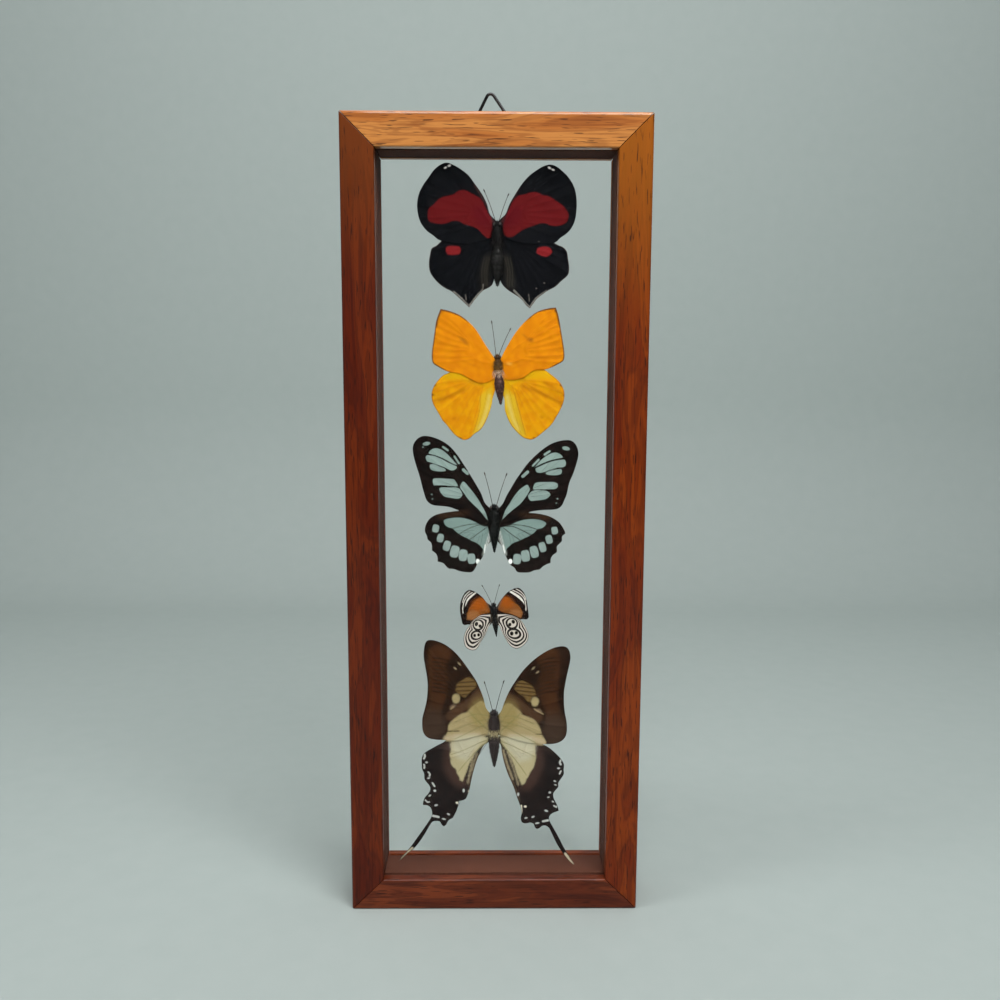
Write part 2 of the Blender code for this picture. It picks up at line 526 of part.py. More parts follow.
def add_screw():
    """A pan-head screw through the strap into the top rail, turned round Z and laid along Y."""
    rise = 0.55 * SCREW_HEAD_RADIUS
    under_head = STRAP_SHEET + 2 * GAP
    profile = (
        (rise, 0.0),
        (rise * 0.92, SCREW_HEAD_RADIUS * 0.45),
        (rise * 0.62, SCREW_HEAD_RADIUS * 0.85),
        (rise * 0.2, SCREW_HEAD_RADIUS),
        (0.0, SCREW_HEAD_RADIUS),
        (0.0, SCREW_SHANK_RADIUS),
        (3 * MM - SCREW_LENGTH - under_head, SCREW_SHANK_RADIUS),
        (-SCREW_LENGTH - under_head, 0.0),
    )
    bm = lathe(profile, 16)
    seat = Vector((LOOP_X, depth(FRAME_DEPTH) + under_head, HINGE_HEIGHT - SCREW_DROP))
    turn = Matrix.Rotation(-math.pi / 2, 4, "X")
    bmesh.ops.transform(bm, matrix=Matrix.Translation(seat) @ turn, verts=bm.verts)
    add_mesh("hanger_screw", bm, "steel")


def main():
    for obj in list(bpy.data.objects):
        bpy.data.objects.remove(obj)
    add_frame()
    add_panes()
    for kind, specimen in SPECIMENS.items():
        add_body(kind, specimen)
        add_wings(kind, specimen)
        add_antennae(kind, specimen)
        add_peg(kind, specimen)
    add_loop()
    add_strap()
    add_screw()


main()
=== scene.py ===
import math

import bmesh
import bpy
import numpy as np
from mathutils import Matrix, Vector


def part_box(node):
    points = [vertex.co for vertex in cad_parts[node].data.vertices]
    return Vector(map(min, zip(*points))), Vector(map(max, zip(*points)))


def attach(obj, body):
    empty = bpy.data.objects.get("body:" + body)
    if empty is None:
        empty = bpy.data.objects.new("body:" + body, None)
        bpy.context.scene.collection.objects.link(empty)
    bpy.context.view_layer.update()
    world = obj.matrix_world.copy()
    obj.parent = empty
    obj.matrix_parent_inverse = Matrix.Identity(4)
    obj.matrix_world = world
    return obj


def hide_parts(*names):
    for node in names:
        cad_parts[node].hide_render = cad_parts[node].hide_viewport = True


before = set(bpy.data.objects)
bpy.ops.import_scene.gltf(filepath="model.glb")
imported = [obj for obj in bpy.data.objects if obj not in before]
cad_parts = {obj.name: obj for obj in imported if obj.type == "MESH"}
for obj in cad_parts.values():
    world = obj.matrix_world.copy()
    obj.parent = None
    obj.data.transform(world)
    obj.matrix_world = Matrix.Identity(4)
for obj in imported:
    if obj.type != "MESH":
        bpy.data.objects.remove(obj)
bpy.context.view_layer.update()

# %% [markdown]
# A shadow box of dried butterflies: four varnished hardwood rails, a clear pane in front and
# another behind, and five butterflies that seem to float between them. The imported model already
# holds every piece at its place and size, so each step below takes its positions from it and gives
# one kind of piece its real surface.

MM = 0.001

# %% [markdown]
# The camera stands half a metre in front of the frame, a little above its middle, and looks
# slightly down. A lens as long as the sensor is wide gives a natural view of a small thing on a
# table.

# %% Camera
camera = bpy.data.objects.new("camera", bpy.data.cameras.new("camera"))
camera.data.lens = 36.0
camera.data.sensor_width = 36.0
camera.location = (-0.00342, -0.53758, 0.30262)
camera.rotation_euler = [math.radians(angle) for angle in (82.0617, -0.2069, -0.6002)]
bpy.context.scene.collection.objects.link(camera)
bpy.context.scene.camera = camera
bpy.context.scene.view_settings.view_transform = "Standard"
print("camera", round(camera.location.length, 3), "m from the foot of the frame")

# %% [markdown]
# Colours are written as a painter's 0 to 255 values, because that is how a swatch is read. The
# shader works in linear light, so one small function converts them.


# %% Colour and material helpers
def tint(red, green, blue):
    linear = []
    for value in (red, green, blue):
        share = value / 255
        linear.append(share / 12.92 if share <= 0.04045 else ((share + 0.055) / 1.055) ** 2.4)
    return (*linear, 1.0)


def new_material(name, **sockets):
    """A Principled material whose plain sockets are given by name, with _ for a space."""
    made = bpy.data.materials.new(name)
    made.use_nodes = True
    shader = made.node_tree.nodes["Principled BSDF"]
    for socket, value in sockets.items():
        shader.inputs[socket.replace("_", " ")].default_value = value
    return made


def add(material, kind, inputs=None, **settings):
    """Adds a shader node. An input takes a value or another node's output."""
    made = material.node_tree.nodes.new("ShaderNode" + kind)
    for setting, value in settings.items():
        setattr(made, setting, value)
    for socket, value in (inputs or {}).items():
        if isinstance(value, bpy.types.NodeSocket):
            material.node_tree.links.new(value, made.inputs[socket])
        else:
            made.inputs[socket].default_value = value
    return made


def feed(material, **outputs):
    """Links outputs to the material's own shader."""
    shader = material.node_tree.nodes["Principled BSDF"]
    for socket, output in outputs.items():
        material.node_tree.links.new(output, shader.inputs[socket.replace("_", " ")])


def coordinates(material, stretch=(1.0, 1.0, 1.0), shift=(0.0, 0.0, 0.0), turned=(0.0, 0.0, 0.0)):
    """Object coordinates, multiplied by stretch. A turn keeps noise from lining up with a sheet."""
    place = add(material, "TexCoord").outputs["Object"]
    inputs = {"Vector": place, "Scale": stretch, "Location": shift, "Rotation": turned}
    return add(material, "Mapping", inputs).outputs["Vector"]


def noise(material, where, scale, detail=2.0, warp=0.0):
    inputs = {"Vector": where, "Scale": scale, "Detail": detail, "Distortion": warp}
    return add(material, "TexNoise", inputs).outputs["Fac"]


def ramp(material, value, low, high):
    """0 below low and 1 above high, with a soft change between."""
    inputs = {"Value": value, "From Min": low, "From Max": high}
    return add(material, "MapRange", inputs, interpolation_type="SMOOTHSTEP").outputs["Result"]


def sums(material, operation, first, second):
    return add(material, "Math", {0: first, 1: second}, operation=operation).outputs[0]


def blend(material, share, first, second):
    inputs = {"Factor": share, 6: first, 7: second}
    return add(material, "Mix", inputs, data_type="RGBA").outputs[2]


def raised(material, height, strength, distance):
    inputs = {"Height": height, "Strength": strength, "Distance": distance}
    return add(material, "Bump", inputs).outputs["Normal"]


print("helpers ready; mid grey is", round(tint(128, 128, 128)[0], 3), "in linear light")

# %% [markdown]
# The set is a pale floor that curves up into a backdrop, as a photographer's paper roll does. It is
# a flat sheet with one bent edge: a grid whose far rows are lifted would do it, and so does a
# profile drawn once and swept sideways, which is the shorter way.

# %% Floor and backdrop
bend_radius = 0.25
floor_depth = 0.9
profile = [(-3.0, 0.0), (floor_depth - bend_radius, 0.0)]
for step in range(1, 13):
    turn = step / 12 * math.pi / 2
    profile.append((floor_depth - bend_radius + bend_radius * math.sin(turn),
                    bend_radius - bend_radius * math.cos(turn)))
profile.append((floor_depth, 2.4))
bm = bmesh.new()
line = [bm.verts.new((-2.5, y, z)) for y, z in profile]
edges = [bm.edges.new(pair) for pair in zip(line, line[1:])]
swept = bmesh.ops.extrude_edge_only(bm, edges=edges)["geom"]
moved = [item for item in swept if isinstance(item, bmesh.types.BMVert)]
bmesh.ops.translate(bm, verts=moved, vec=(5.0, 0.0, 0.0))
bmesh.ops.recalc_face_normals(bm, faces=bm.faces)
mesh = bpy.data.meshes.new("paper_roll")
bm.to_mesh(mesh)
bm.free()
mesh.shade_smooth()
paper = new_material("pale_paper", Base_Color=tint(177, 187, 183), Roughness=0.9)
grain = noise(paper, coordinates(paper), 60.0, 4.0)
feed(paper, Base_Color=blend(paper, grain, tint(174, 185, 181), tint(180, 190, 186)))
mesh.materials.append(paper)
floor = bpy.data.objects.new("paper_roll", mesh)
bpy.context.scene.collection.objects.link(floor)
print("paper roll sweeps", len(profile), "points by 5 m")

# %% [markdown]
# One large soft light above and in front lights the wings, a smaller one from the left rounds the
# rails, a third washes the backdrop so that the wings stand out against it, and a narrow strip over
# the top rail draws a bright line along its varnish. The sky is a dim even grey, which fills the
# shadows and leaves little to mirror in the front pane.


# %% Lights
def soft_light(name, size, power, place, target):
    data = bpy.data.lights.new(name, "AREA")
    data.shape = "RECTANGLE"
    data.size, data.size_y = size
    data.energy = power
    light = bpy.data.objects.new(name, data)
    light.location = place
    aim = Vector(target) - Vector(place)
    light.rotation_euler = aim.to_track_quat("-Z", "Y").to_euler()
    bpy.context.scene.collection.objects.link(light)
    return light


soft_light("key", (0.9, 0.6), 13.0, (0.25, -0.75, 1.15), (0.0, 0.0, 0.25))
soft_light("side", (0.5, 0.9), 3.5, (-1.1, -0.5, 0.5), (0.0, 0.0, 0.22))
soft_light("wash", (1.6, 0.4), 3.0, (0.0, 0.35, 1.3), (0.0, 0.85, 0.3))
soft_light("strip", (0.5, 0.1), 1.8, (-0.03, -0.16, 0.97), (0.0, 0.0, 0.44))
world = bpy.data.worlds.new("sky")
world.use_nodes = True
world.node_tree.nodes["Background"].inputs["Color"].default_value = (0.9, 0.95, 1.0, 1.0)
world.node_tree.nodes["Background"].inputs["Strength"].default_value = 0.18
bpy.context.scene.world = world
print("4 soft lights and a dim sky")

# %% [markdown]
# Every finished piece goes into the scene in the same way: its mesh or curve gets its materials, it
# rides on a body of the model, and it takes the place of a imported piece.


# %% Placing a piece
def place(name, data, finishes, slot, stands_for=(), body="frame"):
    for finish in finishes:
        data.materials.append(finish)
    piece = bpy.data.objects.new(name, data)
    bpy.context.scene.collection.objects.link(piece)
    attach(piece, body)
    if stands_for:
        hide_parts(*stands_for)
    return piece


def mesh_from(bm, name, sharp_degrees=40.0):
    mesh = bpy.data.meshes.new(name)
    bm.to_mesh(mesh)
    bm.free()
    mesh.shade_smooth()
    mesh.set_sharp_from_angle(angle=math.radians(sharp_degrees))
    return mesh


def welded_copy(node):
    """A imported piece's mesh with its loose triangles joined again."""
    bm = bmesh.new()
    bm.from_mesh(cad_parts[node].data)
    bmesh.ops.remove_doubles(bm, verts=bm.verts, dist=0.002 * MM)
    return bm


def without_flat_edges(node):
    """A welded copy whose flat faces are in one piece each."""
    bm = welded_copy(node)
    bmesh.ops.dissolve_limit(bm, angle_limit=math.radians(2), verts=bm.verts[:], edges=bm.edges[:])
    return bm


def hard_edges(bm, degrees):
    """The edges where two faces meet at more than an angle."""
    return [edge for edge in bm.edges
            if len(edge.link_faces) == 2 and edge.calc_face_angle() > math.radians(degrees)]


def ease(bm, edges, width, segments, clamp=True):
    """Rounds some edges over a width."""
    bmesh.ops.bevel(bm, geom=edges, offset=width, offset_type="OFFSET", segments=segments,
                    profile=0.5, affect="EDGES", material=-1, clamp_overlap=clamp)


# %% [markdown]
# The rails are varnished hardwood. Three things make it read as wood: a broad figure that wanders
# along the rail, fine fibres drawn out forty times longer than they are wide, and short dark pores.
# All three are noise stretched along the grain, so one function serves every rail, and the grain's
# axis and tone are its inputs. The tones are partly painted light: the top rail is painted much
# lighter than the others, and the side rails lighter towards the top, as if lit from above. The
# varnish is a clear coat over a duller base.


# %% Hardwood
def hardwood(name, along, light, deep, dark, gloss, lit_from_above=None):
    """Wood with its grain along axis 0 (X) or 2 (Z). The last argument is painted light from above:
    it makes the wood lighter above a height.
    """
    wood = new_material(name, Coat_Weight=gloss, Coat_Roughness=0.08, Specular_IOR_Level=0.1)

    def drawn_out(across, lengthwise):
        stretch = [across, across, across]
        stretch[along] = lengthwise
        return coordinates(wood, stretch, (0.13, 0.29, 0.41))

    figure = noise(wood, drawn_out(1.0, 0.12), 95.0, 3.0, 1.2)
    fibres = noise(wood, drawn_out(1.0, 0.035), 900.0, 4.0, 0.2)
    fine = noise(wood, drawn_out(1.0, 0.05), 2600.0, 3.0)
    rings = sums(wood, "SINE", sums(wood, "MULTIPLY", figure, 42.0), 0.0)
    colour = blend(wood, ramp(wood, figure, 0.36, 0.64), light, deep)
    colour = blend(wood, sums(wood, "MULTIPLY", ramp(wood, rings, -0.2, 1.0), 0.35), colour, dark)
    colour = blend(wood, sums(wood, "MULTIPLY", ramp(wood, fibres, 0.45, 0.75), 0.55), colour, dark)
    # Painted light from above: the wood above a height is blended towards a lighter tone.
    if lit_from_above:
        height = add(wood, "SeparateXYZ", {"Vector": coordinates(wood)}).outputs["Z"]
        share = sums(wood, "MULTIPLY", ramp(wood, height, lit_from_above[0], lit_from_above[1]), 0.8)
        colour = blend(wood, share, colour, lit_from_above[2])
    pores = ramp(wood, noise(wood, drawn_out(1.0, 0.07), 1500.0, 1.0), 0.63, 0.7)
    colour = blend(wood, sums(wood, "MULTIPLY", pores, 0.75), colour, tint(38, 14, 6))
    height = sums(wood, "ADD", sums(wood, "MULTIPLY", fine, 0.5),
                  sums(wood, "MULTIPLY", pores, -1.0))
    feed(wood, Base_Color=colour, Normal=raised(wood, height, 0.25, 0.05 * MM))
    feed(wood, Roughness=ramp(wood, fibres, -0.6, 1.4))
    return wood


# The top rail's much lighter tone is painted light from above.
woods = {
    "top_rail": hardwood("top_rail_wood", 0, tint(202, 131, 63), tint(180, 104, 41),
                         tint(116, 56, 18),
                         0.9),
    "bottom_rail": hardwood("bottom_rail_wood", 0, tint(122, 54, 24), tint(88, 32, 12),
                            tint(50, 17, 7),
                            0.28),
    # The side rails' last argument paints them lighter towards the top, as painted light from above.
    "left_rail": hardwood("left_rail_wood", 2, tint(107, 38, 5), tint(86, 23, 1), tint(52, 12, 2),
                          0.24,
                          (0.33, 0.43, tint(110, 52, 8))),
    "right_rail": hardwood("right_rail_wood", 2, tint(134, 54, 6), tint(108, 34, 1),
                           tint(62, 18, 2),
                           0.24, (0.3, 0.43, tint(162, 90, 10))),
}
print(len(woods), "tones of hardwood")

# %% [markdown]
# Each rail is one length of moulding with mitred ends and two kerfs for the panes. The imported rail
# has that shape, so it is copied and welded, and only its hard arrises are eased with a bevel,
# because a knife-sharp edge catches no light. The brow, which is the front upper edge of the top
# rail, is rounded more than the others, so that the strip light draws its line there.

# %% Rails
bare_wood = new_material("bare_wood_inside", Roughness=0.85, Specular_IOR_Level=0.15)
where = coordinates(bare_wood, (1.0, 1.0, 0.1))
feed(bare_wood, Base_Color=blend(bare_wood, noise(bare_wood, where, 700.0, 3.0), tint(62, 34, 24),
                                 tint(92, 54, 40)))
BROW_ABOVE, BROW_BEFORE, BROW_WIDTH = 425.9 * MM, -17.4 * MM, 1.0 * MM
ARRIS_WIDTH = 0.16 * MM
BACK_PANE_FRONT = 11 * MM
low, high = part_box("front_pane")
for node, wood in woods.items():
    bm = without_flat_edges(node)
    arrises = hard_edges(bm, 44)
    brow = [edge for edge in arrises
            if all(vert.co.z > BROW_ABOVE and vert.co.y < BROW_BEFORE for vert in edge.verts)]
    arrises = [edge for edge in arrises if edge not in brow]
    ease(bm, brow, BROW_WIDTH, 4)
    arrises = [edge for edge in arrises if edge.is_valid]
    ease(bm, arrises, ARRIS_WIDTH, 2)
    for face in bm.faces:
        x, y, z = face.calc_center_median()
        within = low[0] < x < high[0] and low[2] < z < high[2]
        face.material_index = 1 if within and high[1] < y < BACK_PANE_FRONT else 0
    rail = place(node + "_varnished", mesh_from(bm, node + "_varnished", 12.0), [wood, bare_wood],
                 "mahogany", [node])
    print(rail.name, len(rail.data.polygons), "faces,", len(arrises), "eased arrises")

# %% [markdown]
# The panes are clear glass, with a low index, so that they mirror as little as coated picture glass
# does. Glass bends and mirrors light, and a renderer would also stop the lamps at it, so the
# specimens behind would sit in the dark. Where a ray only asks whether a lamp is hidden, the glass
# answers as if it were open, which is what real thin panes nearly do.

# %% Panes
clear_glass = new_material("clear_glass", Base_Color=(1.0, 1.0, 1.0, 1.0), Roughness=0.0, IOR=1.12,
                           Transmission_Weight=1.0)
shader = clear_glass.node_tree.nodes["Principled BSDF"]
see_through = add(clear_glass, "BsdfTransparent", {"Color": (0.97, 0.985, 0.98, 1.0)})
lamp_ray = add(clear_glass, "LightPath").outputs["Is Shadow Ray"]
both = add(clear_glass, "MixShader", {0: lamp_ray, 1: shader.outputs[0], 2: see_through.outputs[0]})
output = clear_glass.node_tree.nodes["Material Output"]
clear_glass.node_tree.links.new(both.outputs[0], output.inputs["Surface"])
for node in ("front_pane", "back_pane"):
    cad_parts[node].material_slots[0].material = clear_glass
    low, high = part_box(node)
    print(node, [round((b - a) / MM, 1) for a, b in zip(low, high)], "mm")

# %% [markdown]
# A wing is a thin sheet stiffened by tubes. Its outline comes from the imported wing, drawn smooth
# again through its corners. The sheet is filled as one face and cut into small squares by planes,
# so that it can be curved and can carry a pattern. The markings are described as a few simple
# shapes in millimetres from the middle of each butterfly, and every point of the sheet stores how
# far inside each kind of marking it lies. The shader turns those distances into soft or crisp
# edges, which is how scales of two colours meet on a real wing.


# %% Curves through points
def unit(vector):
    return vector / max(np.hypot(*vector), 1e-9)


def drawn_smooth(points, spacing, closed=True, corner_degrees=52.0):
    """Points along a smooth line through the given ones, which stays sharp at its corners."""
    points = np.array(points, float)
    count = len(points)
    spans = count if closed else count - 1
    sharp = []
    for i in range(count):
        before = unit(points[i] - points[i - 1])
        after = unit(points[(i + 1) % count] - points[i])
        ends = not closed and i in (0, count - 1)
        sharp.append(ends or before @ after < math.cos(math.radians(corner_degrees)))
    line = []
    for i in range(spans):
        start, end = points[i], points[(i + 1) % count]
        chord = end - start
        length = np.hypot(*chord)
        leave = chord if sharp[i] else unit(end - points[i - 1]) * length
        arrive = points[(i + 2) % count] - start
        arrive = chord if sharp[(i + 1) % count] else unit(arrive) * length
        steps = max(1, round(length / spacing))
        for t in np.arange(steps) / steps:
            line.append((2 * t**3 - 3 * t**2 + 1) * start + (t**3 - 2 * t**2 + t) * leave
                        + (3 * t**2 - 2 * t**3) * end + (t**3 - t**2) * arrive)
    if not closed:
        line.append(points[-1])
    return np.array(line)


def away_from_line(points, line, closed=False):
    """How far each point lies from a line through a list of points."""
    starts, ends = (line, np.roll(line, -1, axis=0)) if closed else (line[:-1], line[1:])
    nearest = np.full(len(points), np.inf)
    for start, end in zip(starts, ends):
        chord = end - start
        share = np.clip((points - start) @ chord / max(chord @ chord, 1e-12), 0, 1)
        away = points - start - share[:, None] * chord
        nearest = np.minimum(nearest, np.hypot(away[:, 0], away[:, 1]))
    return nearest


def inside_area(points, ring):
    """The distance from the ring, positive inside it and negative outside."""
    within = np.zeros(len(points), bool)
    x, z = points.T
    for (ax, az), (bx, bz) in zip(ring, np.roll(ring, -1, axis=0)):
        if az != bz:
            crosses = (az > z) != (bz > z)
            within ^= crosses & (x < (bx - ax) * (z - az) / (bz - az) + ax)
    return np.where(within, 1.0, -1.0) * away_from_line(points, ring, closed=True)


PAD_POWER = 3.4


def inside_mark(points, mark):
    """The distance inside one marking: an area, a stroke of some width, an oval or a square pad."""
    kind, *facts = mark
    if kind == "area":
        return inside_area(points, drawn_smooth(facts[0], 0.5))
    if kind == "stroke":
        width, line = facts
        return width / 2 - away_from_line(points, drawn_smooth(line, 0.5, closed=False))
    centre, (width, height), lean = facts
    turn = math.radians(lean)
    x, z = (points - np.array(centre)).T
    u = x * math.cos(turn) + z * math.sin(turn)
    v = z * math.cos(turn) - x * math.sin(turn)
    power = PAD_POWER if kind == "pad" else 2.0
    reach = (np.abs(2 * u / width) ** power + np.abs(2 * v / height) ** power) ** (1 / power)
    return (1 - reach) * min(width, height) / 2


# Markings are written down by their kind: areas by their outlines, strokes by a width and their
# lines, ovals and pads each by a middle, a size and a lean in degrees.
def areas(*rings):
    return [("area", ring) for ring in rings]


def strokes(width, *lines):
    return [("stroke", width, line) for line in lines]


def ovals(*facts):
    return [("oval", *fact) for fact in facts]


def pads(*facts):
    return [("pad", *fact) for fact in facts]


square = np.array([(0.0, 0.0), (4.0, 0.0), (4.0, 4.0), (0.0, 4.0)])
print("middle of a 4 mm square lies", inside_area(np.array([(2.0, 2.0)]), square)[0],
      "mm inside it")

# %% [markdown]
# The veins of a wing fan out from its root. Two long ones enclose a cell that reaches about half
# way along the wing, and from the cell's edges the others run to the margin. Given the root, the
# tip and the lower corner of a wing, the whole fan can be worked out, with its ends spread evenly
# along the outline between tip and corner.


# %% Venation
def ring_between(ring, first, last):
    """The stretch of a closed ring from the point nearest first to the one nearest last."""
    i = int(np.argmin(np.hypot(*(ring - np.array(first)).T)))
    j = int(np.argmin(np.hypot(*(ring - np.array(last)).T)))
    ahead = np.roll(ring, -i, axis=0)[: (j - i) % len(ring) + 1]
    behind = np.roll(ring[::-1], i + 1, axis=0)[: (i - j) % len(ring) + 1]
    return ahead if len(ahead) < len(behind) else behind


def fan_of_veins(ring, root, tip, corner, reach):
    """Lines in millimetres: the cell's two edges and its closing vein, then the fan."""
    root, tip, corner = (np.array(point, float) for point in (root, tip, corner))
    upper = root + (tip - root) * reach + (corner - tip) * 0.06
    lower = root + (corner - root) * reach * 0.92 + (tip - corner) * 0.16
    middle = (upper + lower) / 2 + (root - (upper + lower) / 2) * 0.1
    bow = unit(tip - corner) * np.hypot(*(tip - root)) * 0.05
    lines = [
        [root, root * 0.5 + upper * 0.5 + bow, upper],
        [root, root * 0.5 + lower * 0.5 - bow * 0.6, lower],
        [upper, middle, lower],
    ]
    margin = ring_between(ring, tip, corner)
    ends = [margin[round(share * (len(margin) - 1))] for share in np.linspace(0, 1, 8)]
    starts = [0.72, 0.9, 1.0, "upper", "middle", "lower", 0.82, 0.6]
    for start, end in zip(starts, ends):
        if start in ("upper", "middle", "lower"):
            begin = {"upper": upper * 0.7 + lower * 0.3, "middle": middle,
                     "lower": upper * 0.25 + lower * 0.75}[start]
        elif end @ (tip - corner) > (tip + corner) / 2 @ (tip - corner):
            begin = root + (upper - root) * start
        else:
            begin = root + (lower - root) * start
        sag = (begin + end) / 2 + bow * (0.5 if start in (0.72, 0.9) else -0.25)
        lines.append([begin, sag, end])
    return [drawn_smooth(line, 1.2, closed=False) for line in lines]


# %% [markdown]
# The wing itself: a filled outline, cut into a fine grid, given its thickness, joined with tubes
# for the veins, and then curved. The curve lifts the front edge, lets the outer margin fall away
# from the glass a little and sinks the skin between the veins, as a dried wing does.


# %% Building a wing
def outline_of(node, middle):
    """The front outline of a packed wing, in millimetres from the butterfly's middle."""
    bm = welded_copy(node)
    bmesh.ops.delete(bm, geom=[f for f in bm.faces if f.normal.y > -0.9], context="FACES")
    bmesh.ops.dissolve_faces(bm, faces=bm.faces[:])
    bm.faces.ensure_lookup_table()
    ring = [(v.co.x / MM - middle[0], v.co.z / MM - middle[1]) for v in bm.faces[0].verts]
    bm.free()
    return np.array(ring)


def tapered_tubes(name, lines, thickness, roundness=2):
    """Tubes along lines of ((x, y, z), radius share), in metres, as one mesh."""
    curve = bpy.data.curves.new(name, "CURVE")
    curve.dimensions = "3D"
    curve.bevel_depth = thickness * MM
    curve.bevel_resolution = roundness
    curve.use_fill_caps = True
    for line in lines:
        spline = curve.splines.new("POLY")
        spline.points.add(len(line) - 1)
        for point, (where, radius) in zip(spline.points, line):
            point.co = (*where, 1.0)
            point.radius = radius
    holder = bpy.data.objects.new(name, curve)
    tubes = bpy.data.meshes.new_from_object(holder)
    bpy.data.objects.remove(holder)
    bpy.data.curves.remove(curve)
    tubes.name = name
    tubes.shade_smooth()
    return tubes


def grid_cut(bm, cell, low, high):
    """Cuts a flat face into squares by planes across X and Z."""
    for axis in (0, 2):
        normal = (1, 0, 0) if axis == 0 else (0, 0, 1)
        for at in np.arange(low[axis] + cell / 2, high[axis], cell):
            where = [0.0, 0.0, 0.0]
            where[axis] = float(at)
            everything = bm.verts[:] + bm.edges[:] + bm.faces[:]
            bmesh.ops.bisect_plane(bm, geom=everything, dist=1e-7, plane_co=where, plane_no=normal)


WING_SKIN = 0.12 * MM
BODY_SIDE = 5.2


def tucked_in(corners, reach, lowest, highest):
    """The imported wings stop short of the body. Their inner corners move in to meet the thorax."""
    moved = corners.copy()
    for i, (x, z) in enumerate(corners):
        if abs(x) < BODY_SIDE and lowest <= z <= highest:
            moved[i, 0] = math.copysign(max(abs(x) - reach, 0.3), x)
    return moved


def build_wing(node, middle, anchors, marks, tuck, nearer, cell, vein_radius, lift):
    """The curved, veined and marked mesh of one wing."""
    low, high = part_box(node)
    depth = (low[1] + high[1]) / 2 + nearer * MM
    corners = tucked_in(outline_of(node, middle), *tuck)
    ring = drawn_smooth(corners, 0.7)
    root, tip, corner, reach = anchors
    side = -1.0 if "left" in node else 1.0
    mirrored = [(side * x, z) for x, z in (root, tip, corner)]
    veins = fan_of_veins(ring, *mirrored, reach)
    veins = [line[inside_area(line, ring) > 0.1] for line in veins]
    veins = [line for line in veins if len(line) > 2]

    bm = bmesh.new()
    front = depth - WING_SKIN / 2
    edge = [bm.verts.new(((x + middle[0]) * MM, front, (z + middle[1]) * MM)) for x, z in ring]
    face = bm.faces.new(edge)
    face.normal_update()
    if face.normal.y > 0:
        face.normal_flip()
    grid_cut(bm, cell * MM, [v - 3 * MM for v in low], [v + 3 * MM for v in high])
    bmesh.ops.solidify(bm, geom=bm.faces[:], thickness=WING_SKIN)
    bmesh.ops.recalc_face_normals(bm, faces=bm.faces)
    skin = len(bm.verts)
    tubes = tapered_tubes("veins", [
        [(((x + middle[0]) * MM, depth, (z + middle[1]) * MM), 1.0 - 0.5 * i / len(line))
         for i, (x, z) in enumerate(line)] for line in veins], vein_radius, roundness=1)
    bm.from_mesh(tubes)
    bpy.data.meshes.remove(tubes)
    for face in bm.faces:
        face.material_index = 1 if face.normal.y > 0.3 else 0
        face.smooth = True
    mesh = bpy.data.meshes.new(node + "_scaled")
    bm.to_mesh(mesh)
    bm.free()

    count = len(mesh.vertices)
    places = np.empty(count * 3)
    mesh.vertices.foreach_get("co", places)
    places = places.reshape(-1, 3)
    flat = places[:, [0, 2]] / MM - np.array(middle)
    from_vein = np.full(count, np.inf)
    for line in veins:
        from_vein = np.minimum(from_vein, away_from_line(flat, line))
    from_margin = inside_area(flat, ring)
    out = np.abs(flat[:, 0]) / 40.0
    bowed = -0.9 * np.sin(np.clip(out, 0, 1) * math.pi) + 0.9 * out**2
    ridge = -0.16 * np.exp(-((from_vein / 0.9) ** 2))
    ripple = 0.12 * np.sin(flat[:, 1] * 0.45 + flat[:, 0] * 0.3) * np.clip(out * 1.5, 0, 1)
    places[:, 1] += (lift * (bowed + ripple) + ridge) * MM
    mesh.vertices.foreach_set("co", places.ravel())

    fields = {"margin": from_margin, "rib": from_vein,
              "root": np.hypot(*(flat - np.array(mirrored[0])).T)}
    for name, shapes in marks.items():
        inside = np.full(count, -20.0)
        for shape in shapes:
            inside = np.maximum(inside, inside_mark(flat, shape))
        fields[name] = inside
    is_vein = np.zeros(count)
    is_vein[skin:] = 1.0
    fields["vein"] = is_vein
    for name, values in fields.items():
        layer = mesh.attributes.new(name, "FLOAT", "POINT")
        layer.data.foreach_set("value", values.astype(np.float32))
    return mesh


print("a wing's skin is", round(WING_SKIN / MM, 2), "mm thick")

# %% [markdown]
# Scales lie on a wing like tiles, each of one colour. Close up, the ground colour is mottled and
# powdery, and the border of a marking is ragged. So each layer adds a little noise to its stored
# distance before it is compared, and a fine noise over everything makes the powder. The back of a
# wing has the same pattern in duller colours.


# %% Wing finishes
def attribute(material, name):
    return add(material, "Attribute", attribute_name=name).outputs["Fac"]


